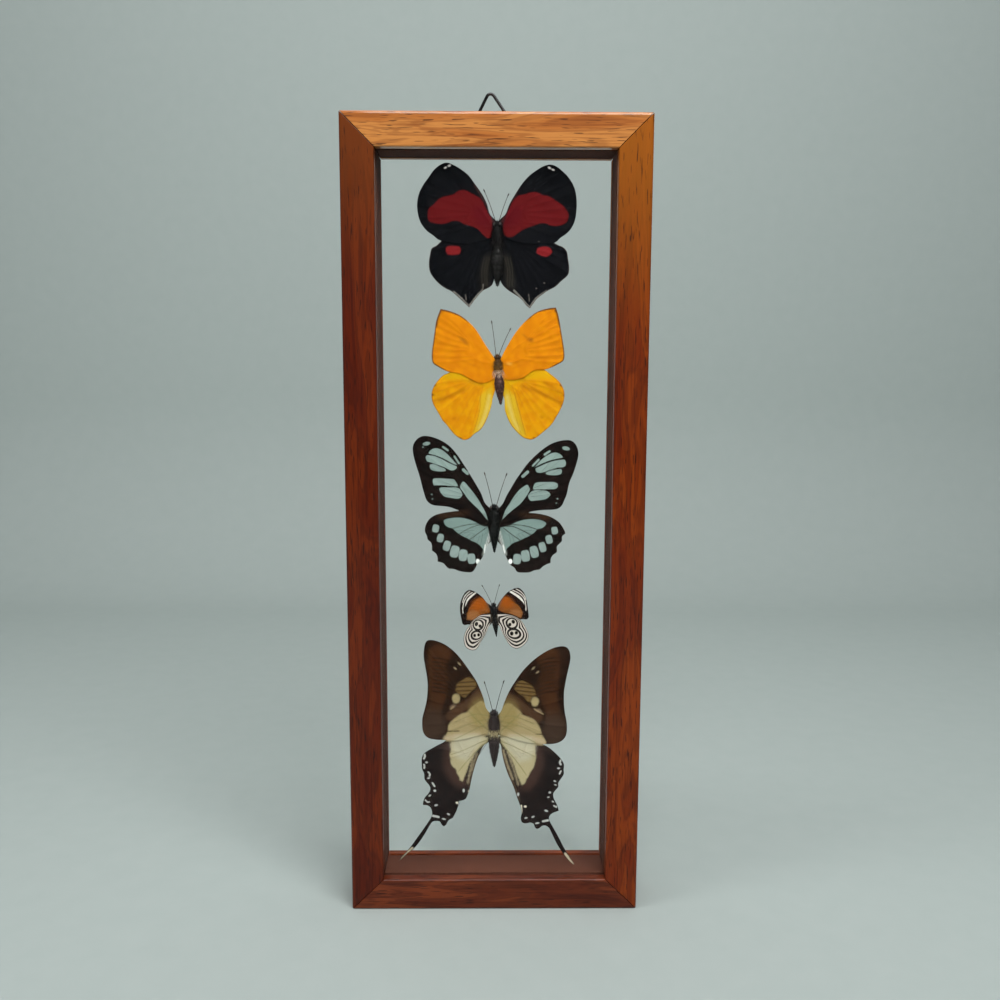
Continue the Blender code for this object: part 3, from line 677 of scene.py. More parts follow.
def scaled_finish(name, ground, shade, layers, veins, faded=0.0, beneath=None, edge=None):
    """layers are (field, colour, softness mm, raggedness mm, strength), veins are (colour,
    strength, halo mm), edge is (width mm, colour, strength, how far from the root it begins)."""
    made = new_material(name, Roughness=0.78, Specular_IOR_Level=0.06)
    where = coordinates(made, turned=(0.5, 0.3, 0.8))
    blotches = noise(made, where, 260.0, 3.0)
    specks = noise(made, where, 2400.0, 2.0)
    ragged = sums(made, "SUBTRACT", noise(made, where, 1100.0, 3.0), 0.5)
    colour = blend(made, ramp(made, blotches, 0.35, 0.65), ground, shade)
    for field, paint, softness, wander, strength in layers:
        value = sums(made, "ADD", attribute(made, field), sums(made, "MULTIPLY", ragged,
                                                               2 * wander))
        share = ramp(made, value, -softness, softness)
        if strength < 1:
            share = sums(made, "MULTIPLY", share, strength)
        colour = blend(made, share, colour, paint)
    if edge:
        width, paint, strength, begins = edge
        value = sums(made, "ADD", attribute(made, "margin"), sums(made, "MULTIPLY", ragged, width))
        share = sums(made, "SUBTRACT", 1.0, ramp(made, value, width * 0.7, width * 1.3))
        share = sums(made, "MULTIPLY", share, ramp(made, attribute(made, "root"), begins,
                                                   begins + 5))
        colour = blend(made, sums(made, "MULTIPLY", share, strength), colour, paint)
    vein_paint, vein_strength, vein_halo = veins
    colour = blend(made, sums(made, "MULTIPLY", attribute(made, "vein"), vein_strength),
                   colour, vein_paint)
    if vein_halo:
        near = sums(made, "SUBTRACT", 1.0, ramp(made, attribute(made, "rib"), 0.1, vein_halo))
        share = sums(made, "MULTIPLY", near, vein_strength * 0.45)
        colour = blend(made, share, colour, vein_paint)
    powder = ramp(made, specks, 0.3, 0.7)
    darker = blend(made, 0.5, colour, (0.0, 0.0, 0.0, 1.0))
    colour = blend(made, sums(made, "MULTIPLY", powder, 0.12), colour, darker)
    if faded:
        colour = blend(made, faded, colour, beneath)
    bumps = sums(made, "ADD", specks, sums(made, "MULTIPLY", blotches, 0.6))
    feed(made, Base_Color=colour, Normal=raised(made, bumps, 0.15, 0.05 * MM))
    return made


print("wing finishes stack their layers from the ground up")

# %% [markdown]
# The middles of the five butterflies, and for each pair of wings the root, the tip and the lower
# corner of the right-hand one, with how far the cell reaches. The left wing mirrors them.

# %% Where the butterflies are and how their wings are veined
MIDDLES = {"redband": (0.5, 362.0), "orange": (1.0, 298.0), "window": (0.3, 215.0),
           "ringed": (0.0, 165.0), "swallowtail": (-0.3, 100.0)}
ANCHORS = {
    ("redband", "forewing"): ((2.6, 9.0), (27.0, 40.3), (32.8, 3.8), 0.5),
    ("redband", "hindwing"): ((2.8, 3.0), (36.2, -3.0), (17.2, -32.0), 0.42),
    ("orange", "forewing"): ((2.2, 3.0), (30.3, 32.0), (33.5, 4.0), 0.5),
    ("orange", "hindwing"): ((2.8, -3.0), (33.5, -7.5), (16.0, -36.5), 0.42),
    ("window", "forewing"): ((2.4, 5.0), (40.0, 45.4), (34.0, 9.5), 0.5),
    ("window", "hindwing"): ((2.4, -1.0), (37.4, -4.8), (11.6, -25.6), 0.42),
    ("ringed", "forewing"): ((1.2, 1.5), (13.0, 15.0), (17.5, -2.3), 0.5),
    ("ringed", "hindwing"): ((1.6, -0.5), (18.0, -9.0), (9.6, -18.0), 0.42),
    ("swallowtail", "forewing"): ((2.6, 2.0), (37.5, 47.2), (38.5, -6.0), 0.52),
    ("swallowtail", "hindwing"): ((3.0, -6.0), (38.9, -24.0), (17.5, -54.8), 0.4),
}
print(len(MIDDLES), "butterflies from", MIDDLES["redband"][1], "down to",
      MIDDLES["swallowtail"][1], "mm above the table")

# %% [markdown]
# Markings of the first butterfly: nearly black, with one dark red band across each forewing, a red
# bar near the front edge of each hindwing, and a pair of white dots near each tip.

# %% Red-banded butterfly's markings
MARKS = {}
MARKS["redband"] = {
    "band": areas([(-3, 12.5), (-5, 16), (-6.5, 19.5), (-8.5, 23), (-11, 24.5), (-14, 26),
                   (-17, 27.3), (-20, 26.8), (-23, 25), (-27, 24.2), (-30, 23), (-32, 20.8),
                   (-34.5, 19), (-35.8, 17), (-36, 14), (-35.3, 12), (-33, 11), (-29, 10.4),
                   (-26, 10.8), (-23, 12), (-20, 11.8), (-17, 10.3), (-14, 9.5), (-11, 8.5),
                   (-9, 6.8), (-7, 4.8), (-5, 3.5), (-3, 3.8)],
                  [(3, 9), (5, 15), (6.5, 19), (8.5, 22.5), (11, 24.8), (14, 25.3), (17, 26.3),
                   (20, 26.5), (23, 25.2), (27, 24.3), (30, 22.5), (33, 20.5), (35.5, 18),
                   (36.8, 15.5), (36.3, 12.5), (34.5, 10.8), (31, 9.8), (27.5, 10), (25, 11),
                   (22, 10.8), (19, 9.8), (16, 8.8), (13, 7.5), (10, 5.5), (8, 4.2), (5.5, 4),
                   (3, 5.5)]),
    "band_core": ovals(((-8, 14), (12, 8), -50), ((8, 14), (12, 8), 50)),
    "bar": areas([(-26.7, -2.2), (-26, -0.8), (-22.7, -0.6), (-19.6, -0.9), (-18.8, -2.6),
                  (-19.4, -4.8), (-22.6, -5.2), (-26, -5)],
                 [(20.3, -4), (21, -1.5), (24, -0.8), (27, -1.2), (28.6, -3.2), (27.3, -5),
                  (25, -5.8), (22, -4.8)]),
    "dots": ovals(((-24.7, 39.4), (1.9, 1.1), 20), ((-26.7, 38.4), (1.6, 1.0), 20),
                  ((26.7, 38.6), (1.9, 1.1), -20), ((28.6, 37.7), (1.6, 1.0), -20)),
    "costa": strokes(0.9, [(-2.5, 12), (-4.2, 17.5), (-8, 24), (-12, 30)],
                     [(2.5, 12), (4.4, 17.5), (7, 22), (11, 28)]),
    "fold": areas([(-3, -4), (-6, -6), (-8.5, -12), (-9.3, -18), (-9, -24), (-5, -21),
                   (-3.5, -16)],
                  [(3, -4), (6, -6), (8.3, -12), (9.3, -18), (9.6, -24), (5, -21), (3.5, -16)]),
    # Most streaks are pale marks, but the stroke along the left hindwing's inner edge is a painted
    # highlight.
    "streaks": (strokes(0.5, [(-7.2, -20), (-7.6, -23.8)])
                + strokes(0.4, [(-16.5, -25.5), (-16.2, -28)], [(16.5, -25), (16.8, -28.5)])
                + ovals(((24.5, -19.3), (1.0, 0.6), 0), ((20.5, -22), (0.9, 0.6), 0),
                        ((21.5, 1.7), (1.0, 0.5), 0))),
    "fringe": strokes(1.1, [(-22.8, -24), (-20.2, -26), (-17, -29), (-15, -31)],
                      [(-7.8, -23.2), (-11, -26.6), (-13.1, -29.4), (-14.5, -31)],
                      [(8.9, -23.2), (12.7, -27.2), (15.4, -30.3), (17, -31.8)],
                      [(25.8, -23.4), (23.8, -24.7), (20.9, -26.8), (19, -29.1), (17.6, -31.4)]),
    "fold_hairs": [("stroke", 0.35, [(side * x, -6), (side * (x + 1.4), -13),
                                     (side * (x + 1.2), -21)])
                   for side in (-1, 1) for x in (4.0, 5.2, 6.6)],
}
black = tint(1, 2, 5)
LOOKS = {}
red_layers = [
    ("band", tint(80, 9, 11), 0.4, 0.4, 1.0),
    ("band_core", tint(70, 2, 11), 1.6, 0.5, 0.6),
    ("bar", tint(104, 20, 22), 0.45, 0.5, 1.0),
    ("dots", tint(226, 221, 216), 0.2, 0.15, 1.0),
    ("costa", tint(104, 74, 70), 0.35, 0.2, 0.2),
    ("fold", tint(20, 18, 14), 2.2, 1.4, 0.8),
    ("fold_hairs", tint(62, 57, 49), 0.4, 0.3, 0.6),
    # Pale marks, and one painted highlight along the left hindwing's inner edge.
    ("streaks", tint(120, 112, 104), 0.25, 0.2, 0.8),
    ("fringe", tint(108, 104, 98), 0.25, 0.2, 0.8),
]
LOOKS["redband"] = {
    "forewing": dict(ground=black, shade=tint(7, 8, 11), layers=red_layers,
                     veins=(tint(2, 2, 4), 0.25, 0.0)),
    "hindwing": dict(ground=black, shade=tint(5, 6, 9), layers=red_layers,
                     veins=(tint(2, 2, 4), 0.4, 0.0), edge=(0.35, tint(88, 78, 72), 0.5, 20)),
}
print("red-banded:", sum(len(shapes) for shapes in MARKS["redband"].values()), "shapes")

# %% [markdown]
# The second is orange all over. Its forewings have a brown margin that widens at the tip and one
# dusky spot, and its hindwings have dark streaks, dots where the veins meet the margin and a paler
# yellow part next to the body.

# %% Orange butterfly's markings
MARKS["orange"] = {
    "tip_dark": strokes(2.6, [(-22, 29.6), (-26, 30.9), (-30, 31.6), (-32, 27.5), (-33, 23)],
                        [(23, 31.6), (27, 32.4), (30.3, 32.6), (32, 28.5), (33, 24)]),
    "smudge": (ovals(((-17.8, 14.8), (6.0, 1.9), -40), ((17.0, 15.4), (3.4, 2.2), -30))
               + strokes(0.5, [(13, 18.2), (15.5, 16.2)])),
    "streaks": (strokes(0.55, [(-31, 5.8), (-24, 5.5), (-19, 4.6), (-13, 2.2), (-7, 0)],
                        [(33, 7.5), (26, 7), (20, 5.6), (14, 3), (8, 0.5)])
                + strokes(0.45, [(-32.5, 14), (-26, 13), (-20, 10.5), (-13, 7)],
                          [(33, 15), (27, 14), (21, 11.5), (14, 8)],
                          [(-31.5, 21.5), (-26, 20), (-20, 16.5)],
                          [(32, 22.5), (26, 21), (20, 17.5)])),
    "bands": (strokes(1.5, [(-34, -17), (-30, -15.6), (-26, -14.3), (-22, -12.6), (-18, -10.6)],
                      [(13, -8.6), (18, -10.4), (22, -12), (28, -14.8), (33.5, -17.2)])
              + strokes(1.1, [(-14.5, -5.8), (-11.5, -6.9), (-8.5, -7.5)],
                        [(5.5, -5.6), (9.5, -4.6), (14, -4.7)])
              + strokes(1.0, [(24.5, -6.8), (29, -9.2), (34.2, -12.2)])
              + ovals(((-23, -26), (1.5, 1.2), 0), ((23.5, -25), (1.5, 1.2), 0))),
    "ends": [("oval", place, (1.6, 1.3), 0) for place in (
        (-34.7, -13.5), (-34.6, -19), (-31.4, -26), (-25.3, -32.5), (-19.8, -36.6), (-33.2, -8.5),
        (35.3, -13.5), (34.5, -19), (31.2, -25.5), (25.8, -32), (19.4, -36.3), (33.6, -8.2))],
    "inner": areas([(-3, -9), (-9, -14), (-9.3, -19), (-10.2, -25), (-12.8, -33), (-13, -35.5),
                    (-9, -33), (-5, -26), (-2.5, -18)],
                   [(3, -9), (9, -14), (10.6, -19), (12.2, -25), (14.6, -33), (14.5, -36.5),
                    (9, -33), (5, -26), (3.2, -18)]),
    "inner_pale": strokes(1.2, [(-4.4, -14), (-5.6, -20), (-7.4, -26), (-9.8, -31)],
                          [(5.0, -14), (6.4, -20), (8.2, -26), (11, -31.5)]),
    "yellow_top": strokes(4.5, [(-27, -3.4), (-20, -3.2), (-13, -4.6), (-7, -7)],
                          [(27, -3), (20, -2.6), (12, -4.2), (6, -7)]),
    # A painted highlight: a pale oval near the body on the right side only.
    "painted_glint": ovals(((6, 3), (2.4, 1.5), -10)),
    "creases": (strokes(0.35, [(-9, -12), (-9.3, -19), (-10.4, -25), (-13, -34)],
                        [(9, -12), (10.7, -19), (12.4, -25), (14.9, -35)])
                + strokes(0.3, [(-5.4, -11), (-7.2, -20), (-9.4, -27), (-11.2, -33)],
                          [(6, -11), (8.4, -20), (10.2, -27), (12.6, -34)])),
}
orange_layers = [
    ("yellow_top", tint(186, 146, 6), 2.2, 0.9, 0.75),
    ("inner", tint(182, 150, 28), 1.3, 0.8, 0.9),
    ("inner_pale", tint(186, 170, 96), 1.3, 0.6, 0.7),
    # The pale oval near the body is a painted highlight.
    ("painted_glint", tint(226, 166, 62), 0.8, 0.3, 0.6),
    ("streaks", tint(166, 92, 2), 0.5, 0.3, 0.5),
    ("creases", tint(132, 86, 14), 0.2, 0.15, 0.7),
    ("bands", tint(142, 82, 2), 1.3, 0.8, 0.7),
    ("smudge", tint(134, 78, 12), 0.8, 0.6, 0.75),
    ("ends", tint(92, 50, 12), 0.45, 0.3, 0.9),
    ("tip_dark", tint(74, 40, 14), 0.8, 0.6, 0.95),
]
without_yellow = [layer for layer in orange_layers if layer[0] != "yellow_top"]
LOOKS["orange"] = {
    "forewing": dict(ground=tint(192, 116, 0), shade=tint(183, 106, 0), layers=without_yellow,
                     veins=(tint(176, 100, 8), 0.35, 0.0), edge=(0.6, tint(92, 54, 18), 0.9, 23)),
    "hindwing": dict(ground=tint(192, 132, 1), shade=tint(184, 116, 0), layers=orange_layers,
                     veins=(tint(158, 96, 10), 0.45, 0.4), edge=(0.35, tint(140, 88, 20), 0.7, 18)),
}
print("orange:", sum(len(shapes) for shapes in MARKS["orange"].values()), "shapes")

# %% [markdown]
# The third is black-brown with clear, greenish windows between its veins and a row of pale ovals
# round each hindwing. Every window is drawn as its own area, so the dark bars left between them are
# the veins.

# %% Windowed butterfly's markings
MARKS["window"] = {
    "panes": (ovals(((-37.2, 43.6), (4.2, 1.9), 12), ((-39.1, 41.7), (1.0, 0.8), 0),
                    ((-34.5, 16.4), (1.0, 0.9), 0), ((-34.2, 13.9), (0.9, 0.8), 0),
                    ((37.3, 41.3), (4.2, 2.0), -12), ((33, 14.2), (1.0, 0.9), 0),
                    ((32.4, 11.8), (0.9, 0.8), 0))
              + strokes(1.1, [(-28.3, 42), (-25.8, 40.2)], [(25.8, 38), (28.5, 39.8)])
              + strokes(1.0, [(-22.3, 37), (-19.8, 33.2)], [(19.5, 32), (22.7, 35.4)])
              + strokes(1.6, [(-17.5, 29.8), (-15.3, 27.8)], [(14.2, 26.3), (16.8, 28.7)])
              + areas([(-36.3, 38.4), (-34.5, 40.5), (-32, 41.2), (-29.5, 40.6), (-27, 39),
                       (-24.5, 36.5), (-22.5, 34.3), (-20.7, 32.3), (-22.3, 32.7), (-25, 34.1),
                       (-29, 36.2), (-33, 37.6)],
                      [(-36.8, 37.5), (-37.8, 36.5), (-37, 34.2), (-33, 33), (-30, 32),
                       (-27, 30.8), (-24.5, 29.6), (-22.5, 29.6), (-21, 30.7), (-21, 31.6),
                       (-25, 33.3), (-29, 35.4), (-33, 37)],
                      [(-35.6, 31), (-35.2, 32.6), (-33, 32.6), (-30, 31.4), (-27.3, 30.2),
                       (-26.7, 29.3), (-28, 28.9), (-32, 29), (-34.5, 29.6)],
                      [(-33.5, 21.3), (-34, 24), (-33, 25), (-27, 25), (-22.5, 24.8), (-21.3, 23),
                       (-20.3, 20.9), (-24, 21), (-29, 21.4)],
                      [(-30.5, 19.3), (-29.5, 20.2), (-25, 20.2), (-20.3, 20), (-18.3, 17.5),
                       (-18, 16), (-19.5, 14.5), (-21, 14.2), (-25, 14.8), (-27.5, 15.3),
                       (-29.3, 17)],
                      [(-17.8, 23.6), (-19.3, 21), (-19, 19.7), (-17, 17), (-15, 14), (-12, 11),
                       (-9, 8), (-6.5, 5), (-4.5, 2.3), (-5, 5), (-6, 7.5), (-8, 11), (-10, 14.5),
                       (-12.5, 18), (-15, 21), (-16.5, 22.8)],
                      [(20.5, 31.2), (22.5, 33.5), (25, 36), (28, 38), (30.5, 39), (33, 38.8),
                       (35, 37.5), (35.8, 36.4), (33, 35.9), (29, 35), (25, 33.5)],
                      [(20.9, 30.6), (25, 32.5), (29, 34.1), (33, 35), (36.5, 35.3), (37.3, 34),
                       (37.2, 32.3), (36, 31.3), (33, 31), (29, 29.9), (25.5, 28.6), (23.5, 28.2),
                       (21.5, 28.6)],
                      [(26.5, 28.3), (28, 29), (31, 29.8), (34.5, 30.3), (35.2, 29.5), (35, 27.8),
                       (33, 27), (29, 27), (26.5, 27.5)],
                      [(19.7, 19.3), (20.3, 21.8), (21.5, 23), (26, 23.3), (31, 23.2), (33, 22.3),
                       (33.2, 20.8), (32, 19.6), (28, 19.4), (24, 19.4)],
                      [(17.2, 15.7), (18.5, 17.8), (20.3, 18.7), (24, 18.8), (27, 18.5),
                       (28.8, 17.3), (29.2, 16.3), (27.5, 14.5), (25, 13.7), (21, 13.3),
                       (18.8, 13), (17.8, 14)],
                      [(2.8, 2), (4, 5), (5, 8), (7.5, 12), (10, 16), (13, 19.5), (15.5, 21.3),
                       (16.8, 22), (18.2, 19.5), (17, 17), (15, 14), (13, 11.5), (10, 9), (7, 6.5),
                       (4.5, 4)])),
    "clear": areas([(-28.2, 2), (-27, 2.9), (-24, 3.6), (-21, 3.9), (-17, 3.5), (-13, 2.3),
                    (-10, 0.8), (-7, -0.8), (-4.5, -1), (-3.8, -4), (-4, -8), (-5, -12),
                    (-6.2, -16), (-7, -13.5), (-8, -12), (-9, -11), (-10.5, -9.8), (-13, -8.8),
                    (-15.5, -7.3), (-18.3, -6), (-20.3, -4.7), (-22.5, -2.8), (-23.5, -1.8),
                    (-25.5, -1.5), (-27.5, 0)],
                   [(27.3, 0.8), (25.5, 2), (22.5, 2.9), (18, 3.1), (14, 2.5), (11, 1.5), (8, 0),
                    (4, -1.2), (2.3, -1.7), (2.2, -4), (2.8, -8), (3.8, -12), (4.8, -15.5),
                    (6, -13), (7.5, -11.5), (9, -10), (11, -9.3), (13.3, -8.3), (15, -7.5),
                    (17.5, -6.3), (18.8, -5.4), (20, -4.8), (22.5, -2.3), (24.5, -2), (26, -1)]),
    "spots": pads(((-32.5, -2.2), (3.5, 4.3), -12), ((-30, -7.4), (3.5, 4.6), -14),
                  ((-26.5, -11.6), (3.8, 5.5), -16), ((-22.3, -14.7), (4.7, 6.5), -14),
                  ((-17.7, -16.7), (4.5, 6.3), -8), ((-13.2, -18.6), (4.2, 5.6), 6),
                  ((31.7, -3.2), (3.4, 4.1), 12), ((28.7, -8), (3.6, 4.7), 14),
                  ((25.2, -12.2), (3.6, 5.5), 16), ((20.7, -14.8), (4.4, 6.5), 14),
                  ((16, -17), (4.5, 6.3), 8), ((11.5, -18.8), (4.3, 5.7), -6)),
    "white": (ovals(((-9.7, -20.2), (2.2, 3.1), 10), ((7.8, -20.2), (2.2, 3.1), -10))
              + strokes(0.6, [(-5.8, -11), (-6, -13.5), (-6.2, -16)],
                        [(3.9, -11), (4.3, -13.5), (4.8, -15.5)])),
    "fringe": strokes(1.8, [(-2.5, -5), (-4, -9), (-5.4, -13), (-6.4, -16.5)],
                      [(1.6, -5), (2.8, -9), (4, -13), (5, -16)]),
    "white_hairs": strokes(0.35, [(-2.9, -3.5), (-4.0, -9), (-5.6, -14.5)],
                           [(-3.6, -3.5), (-5.1, -9.5), (-6.3, -15.5)],
                           [(1.9, -3.5), (2.8, -9), (4.2, -14.5)],
                           [(2.5, -3.5), (3.9, -9.5), (5.2, -15)]),
    "rays": strokes(0.5, [(-24.5, -2.4), (-17, -0.3), (-10, 0.6), (-6, 0.2)],
                    [(-20.8, -5.6), (-15.5, -2.5), (-10, -0.3), (-6, 0)],
                    [(-14.5, -8.4), (-10.5, -5.4), (-5, -1.5)],
                    [(23.5, -2.9), (16.5, -0.7), (10, 0), (5.5, -0.4)],
                    [(19.5, -5.8), (14, -2.9), (9, -0.9), (5.5, -0.8)],
                    [(13.5, -8.6), (9, -5.6), (4, -1.8)]),
    "brown": strokes(3.2, [(-16, 6.4), (-24, 5.8), (-30, 4.6)], [(14, 5.6), (22, 5), (28, 3.6)]),
}
window_layers = [
    ("brown", tint(48, 32, 20), 1.4, 0.8, 0.8),
    ("clear", tint(110, 129, 123), 0.25, 0.2, 1.0),
    ("panes", tint(123, 140, 134), 0.16, 0.14, 1.0),
    ("spots", tint(127, 142, 137), 0.2, 0.16, 1.0),
    ("rays", tint(34, 32, 26), 0.22, 0.12, 0.9),
    ("fringe", tint(142, 146, 140), 0.9, 0.6, 0.85),
    ("white_hairs", tint(192, 196, 190), 0.2, 0.15, 0.7),
    ("white", tint(222, 226, 220), 0.25, 0.2, 1.0),
]
LOOKS["window"] = {
    "forewing": dict(ground=tint(11, 7, 5), shade=tint(21, 12, 9), layers=window_layers,
                     veins=(tint(16, 12, 8), 0.5, 0.0)),
    "hindwing": dict(ground=tint(11, 7, 5), shade=tint(21, 12, 9), layers=window_layers,
                     veins=(tint(40, 38, 30), 0.5, 0.0), edge=(0.3, tint(70, 60, 48), 0.4, 18)),
}
print("windowed:", sum(len(shapes) for shapes in MARKS["window"].values()), "shapes")

# %% [markdown]
# The fourth is the small one, set with its underside out. Its forewings are orange-brown between
# white and black stripes, and its hindwings are white with black rings and fine lines that run
# parallel to the margin.

# %% Ringed butterfly's markings
MARKS["ringed"] = {
    "orange": areas([(-9, 9.5), (-13, 5.5), (-14.5, 3), (-15.3, 0), (-15, -2.6), (-12, -2.6),
                     (-8, 0), (-3, 1.2), (-3.2, 4), (-5, 6.5), (-7, 9)],
                    [(5, 9.8), (7, 9.8), (9.5, 7.5), (12.5, 5.5), (14, 3.5), (15, 0.8), (14, -1.6),
                     (8, 0.8), (5, 1.2), (1.6, 3), (2.5, 6)]),
    "orange_pale": areas([(-15.2, 0.8), (-15.2, -2.6), (-12, -2.6), (-8.5, -0.2), (-10, 1.8),
                          (-13, 2)],
                         [(14.8, 1.6), (14, -1.6), (10, 0.4), (8, 1.2), (9.5, 2.8), (12.5, 3)]),
    "stripes": (areas([(-10.2, 12.3), (-10.9, 12.7), (-13.3, 10.9), (-15.3, 8.7), (-16.2, 6),
                       (-16.5, 4.4), (-15.9, 5.6), (-14.8, 7.9), (-12.8, 10)],
                      [(7.6, 12.9), (8.7, 13.4), (11.4, 11.9), (13.8, 10.1), (15.7, 7.3),
                       (16, 5.6), (15.2, 7), (12.9, 9.2), (10.7, 10.9)])
                + strokes(0.42, [(-12.4, 12.6), (-14.8, 10.9), (-16.3, 8.8), (-17.3, 6.2),
                                 (-17.7, 3), (-17.5, 1)],
                          [(9.5, 13.8), (12.3, 12.5), (15, 10.4), (16.3, 7.9), (16.8, 4.4),
                           (16.8, 2.6)])
                + strokes(0.38, [(-13.9, 13.1), (-15.6, 11.7), (-17, 9.7), (-17.8, 7)],
                          [(11.4, 14.5), (13.8, 13.1), (15.8, 10.8), (16.8, 8.5)])),
    "orange_core": ovals(((-8.6, 5.8), (8.5, 6.5), 30), ((6.2, 7), (7, 5.6), -20)),
    "hind_white": areas([(-2.6, 1), (-5, 0.6), (-8, 0), (-10.5, -1.6), (-12.8, -3.6),
                         (-14.3, -6.2), (-15.6, -8), (-16.6, -10.2), (-17.2, -13), (-16.9, -15.9),
                         (-16, -18), (-14.3, -19.2), (-12.4, -19.8), (-10.4, -19.3), (-9, -17.6),
                         (-7.9, -15.3), (-6.7, -13.3), (-5.5, -11.3), (-4.5, -9), (-3.5, -6.5),
                         (-2.8, -4)],
                        [(1.3, 1), (3.3, 0.8), (6, 0.6), (9, 0), (12, -1.2), (14.2, -2.9),
                         (15.6, -4.8), (16.7, -6.8), (17.7, -8.9), (18.3, -10.8), (18.2, -12.9),
                         (17.3, -15), (15.7, -16.8), (13.6, -18.3), (11.6, -18.8), (9.6, -18.1),
                         (8, -16.8), (6.4, -14.5), (5, -12), (3.5, -9), (2.6, -6.5), (1.9, -4)]),
    "rings": ovals(((-9.3, -5.3), (5.7, 5.7), 0), ((-10.1, -11.2), (5.7, 4.8), 10),
                   ((9.2, -4.4), (6.1, 5.9), -25), ((10.3, -10.3), (6.9, 5.1), -10)),
    "ring_fill": ovals(((-9.3, -5.3), (4.5, 4.5), 0), ((-10.1, -11.2), (4.5, 3.6), 10),
                       ((9.2, -4.4), (4.9, 4.7), -25), ((10.3, -10.3), (5.7, 3.9), -10)),
    "pupils": ovals(((-10.2, -4.9), (1.8, 2.4), -20), ((-8.2, -6.1), (1.7, 2.1), 30),
                    ((-11.2, -11.3), (1.6, 1.9), 0), ((-9.0, -11), (1.6, 1.9), 0),
                    ((9.9, -3.6), (1.9, 2.3), 20), ((8.0, -5.2), (1.8, 2.1), -20),
                    ((9.1, -10.2), (2.0, 2.4), 0), ((11.6, -9.8), (1.8, 2.0), 0)),
    "fore_dark": areas([(-2.4, 2.4), (-4.5, 6.8), (-8.5, 11), (-6.2, 8.8), (-3.8, 4.6)],
                       [(0.9, 3), (3, 8.2), (6.2, 12), (4, 8.6), (2.2, 4.6)]),
}
ringed_layers = [
    ("orange", tint(118, 68, 26), 0.35, 0.3, 1.0),
    ("orange_core", tint(148, 72, 6), 2.0, 0.5, 0.9),
    ("orange_pale", tint(142, 94, 52), 1.0, 0.4, 0.8),
    ("stripes", tint(204, 200, 190), 0.12, 0.08, 1.0),
    ("fore_dark", tint(92, 80, 66), 0.4, 0.3, 0.7),
]
hind_layers = [
    ("hind_white", tint(186, 178, 168), 0.3, 0.1, 1.0),
    ("lines", tint(24, 19, 16), 0.08, 0.05, 1.0),
    ("rings", tint(24, 19, 16), 0.12, 0.06, 1.0),
    ("ring_fill", tint(186, 178, 166), 0.12, 0.06, 1.0),
    ("pupils", tint(20, 16, 14), 0.14, 0.06, 1.0),
]
LOOKS["ringed"] = {
    "forewing": dict(ground=tint(14, 9, 7), shade=tint(26, 15, 11), layers=ringed_layers,
                     veins=(tint(60, 34, 14), 0.6, 0.25)),
    "hindwing": dict(ground=tint(40, 34, 28), shade=tint(52, 44, 36), layers=hind_layers,
                     veins=(tint(150, 138, 120), 0.0, 0.0), edge=(0.22, tint(28, 24, 22), 0.8, 8)),
}
print("ringed:", sum(len(shapes) for shapes in MARKS["ringed"].values()), "shapes")

# %% [markdown]
# The fifth is a swallowtail, dark brown with a cream area that crosses both wings of each side,
# green veins in the cream, a barred olive band, pale crescents round the hindwing and cream tail
# tips.

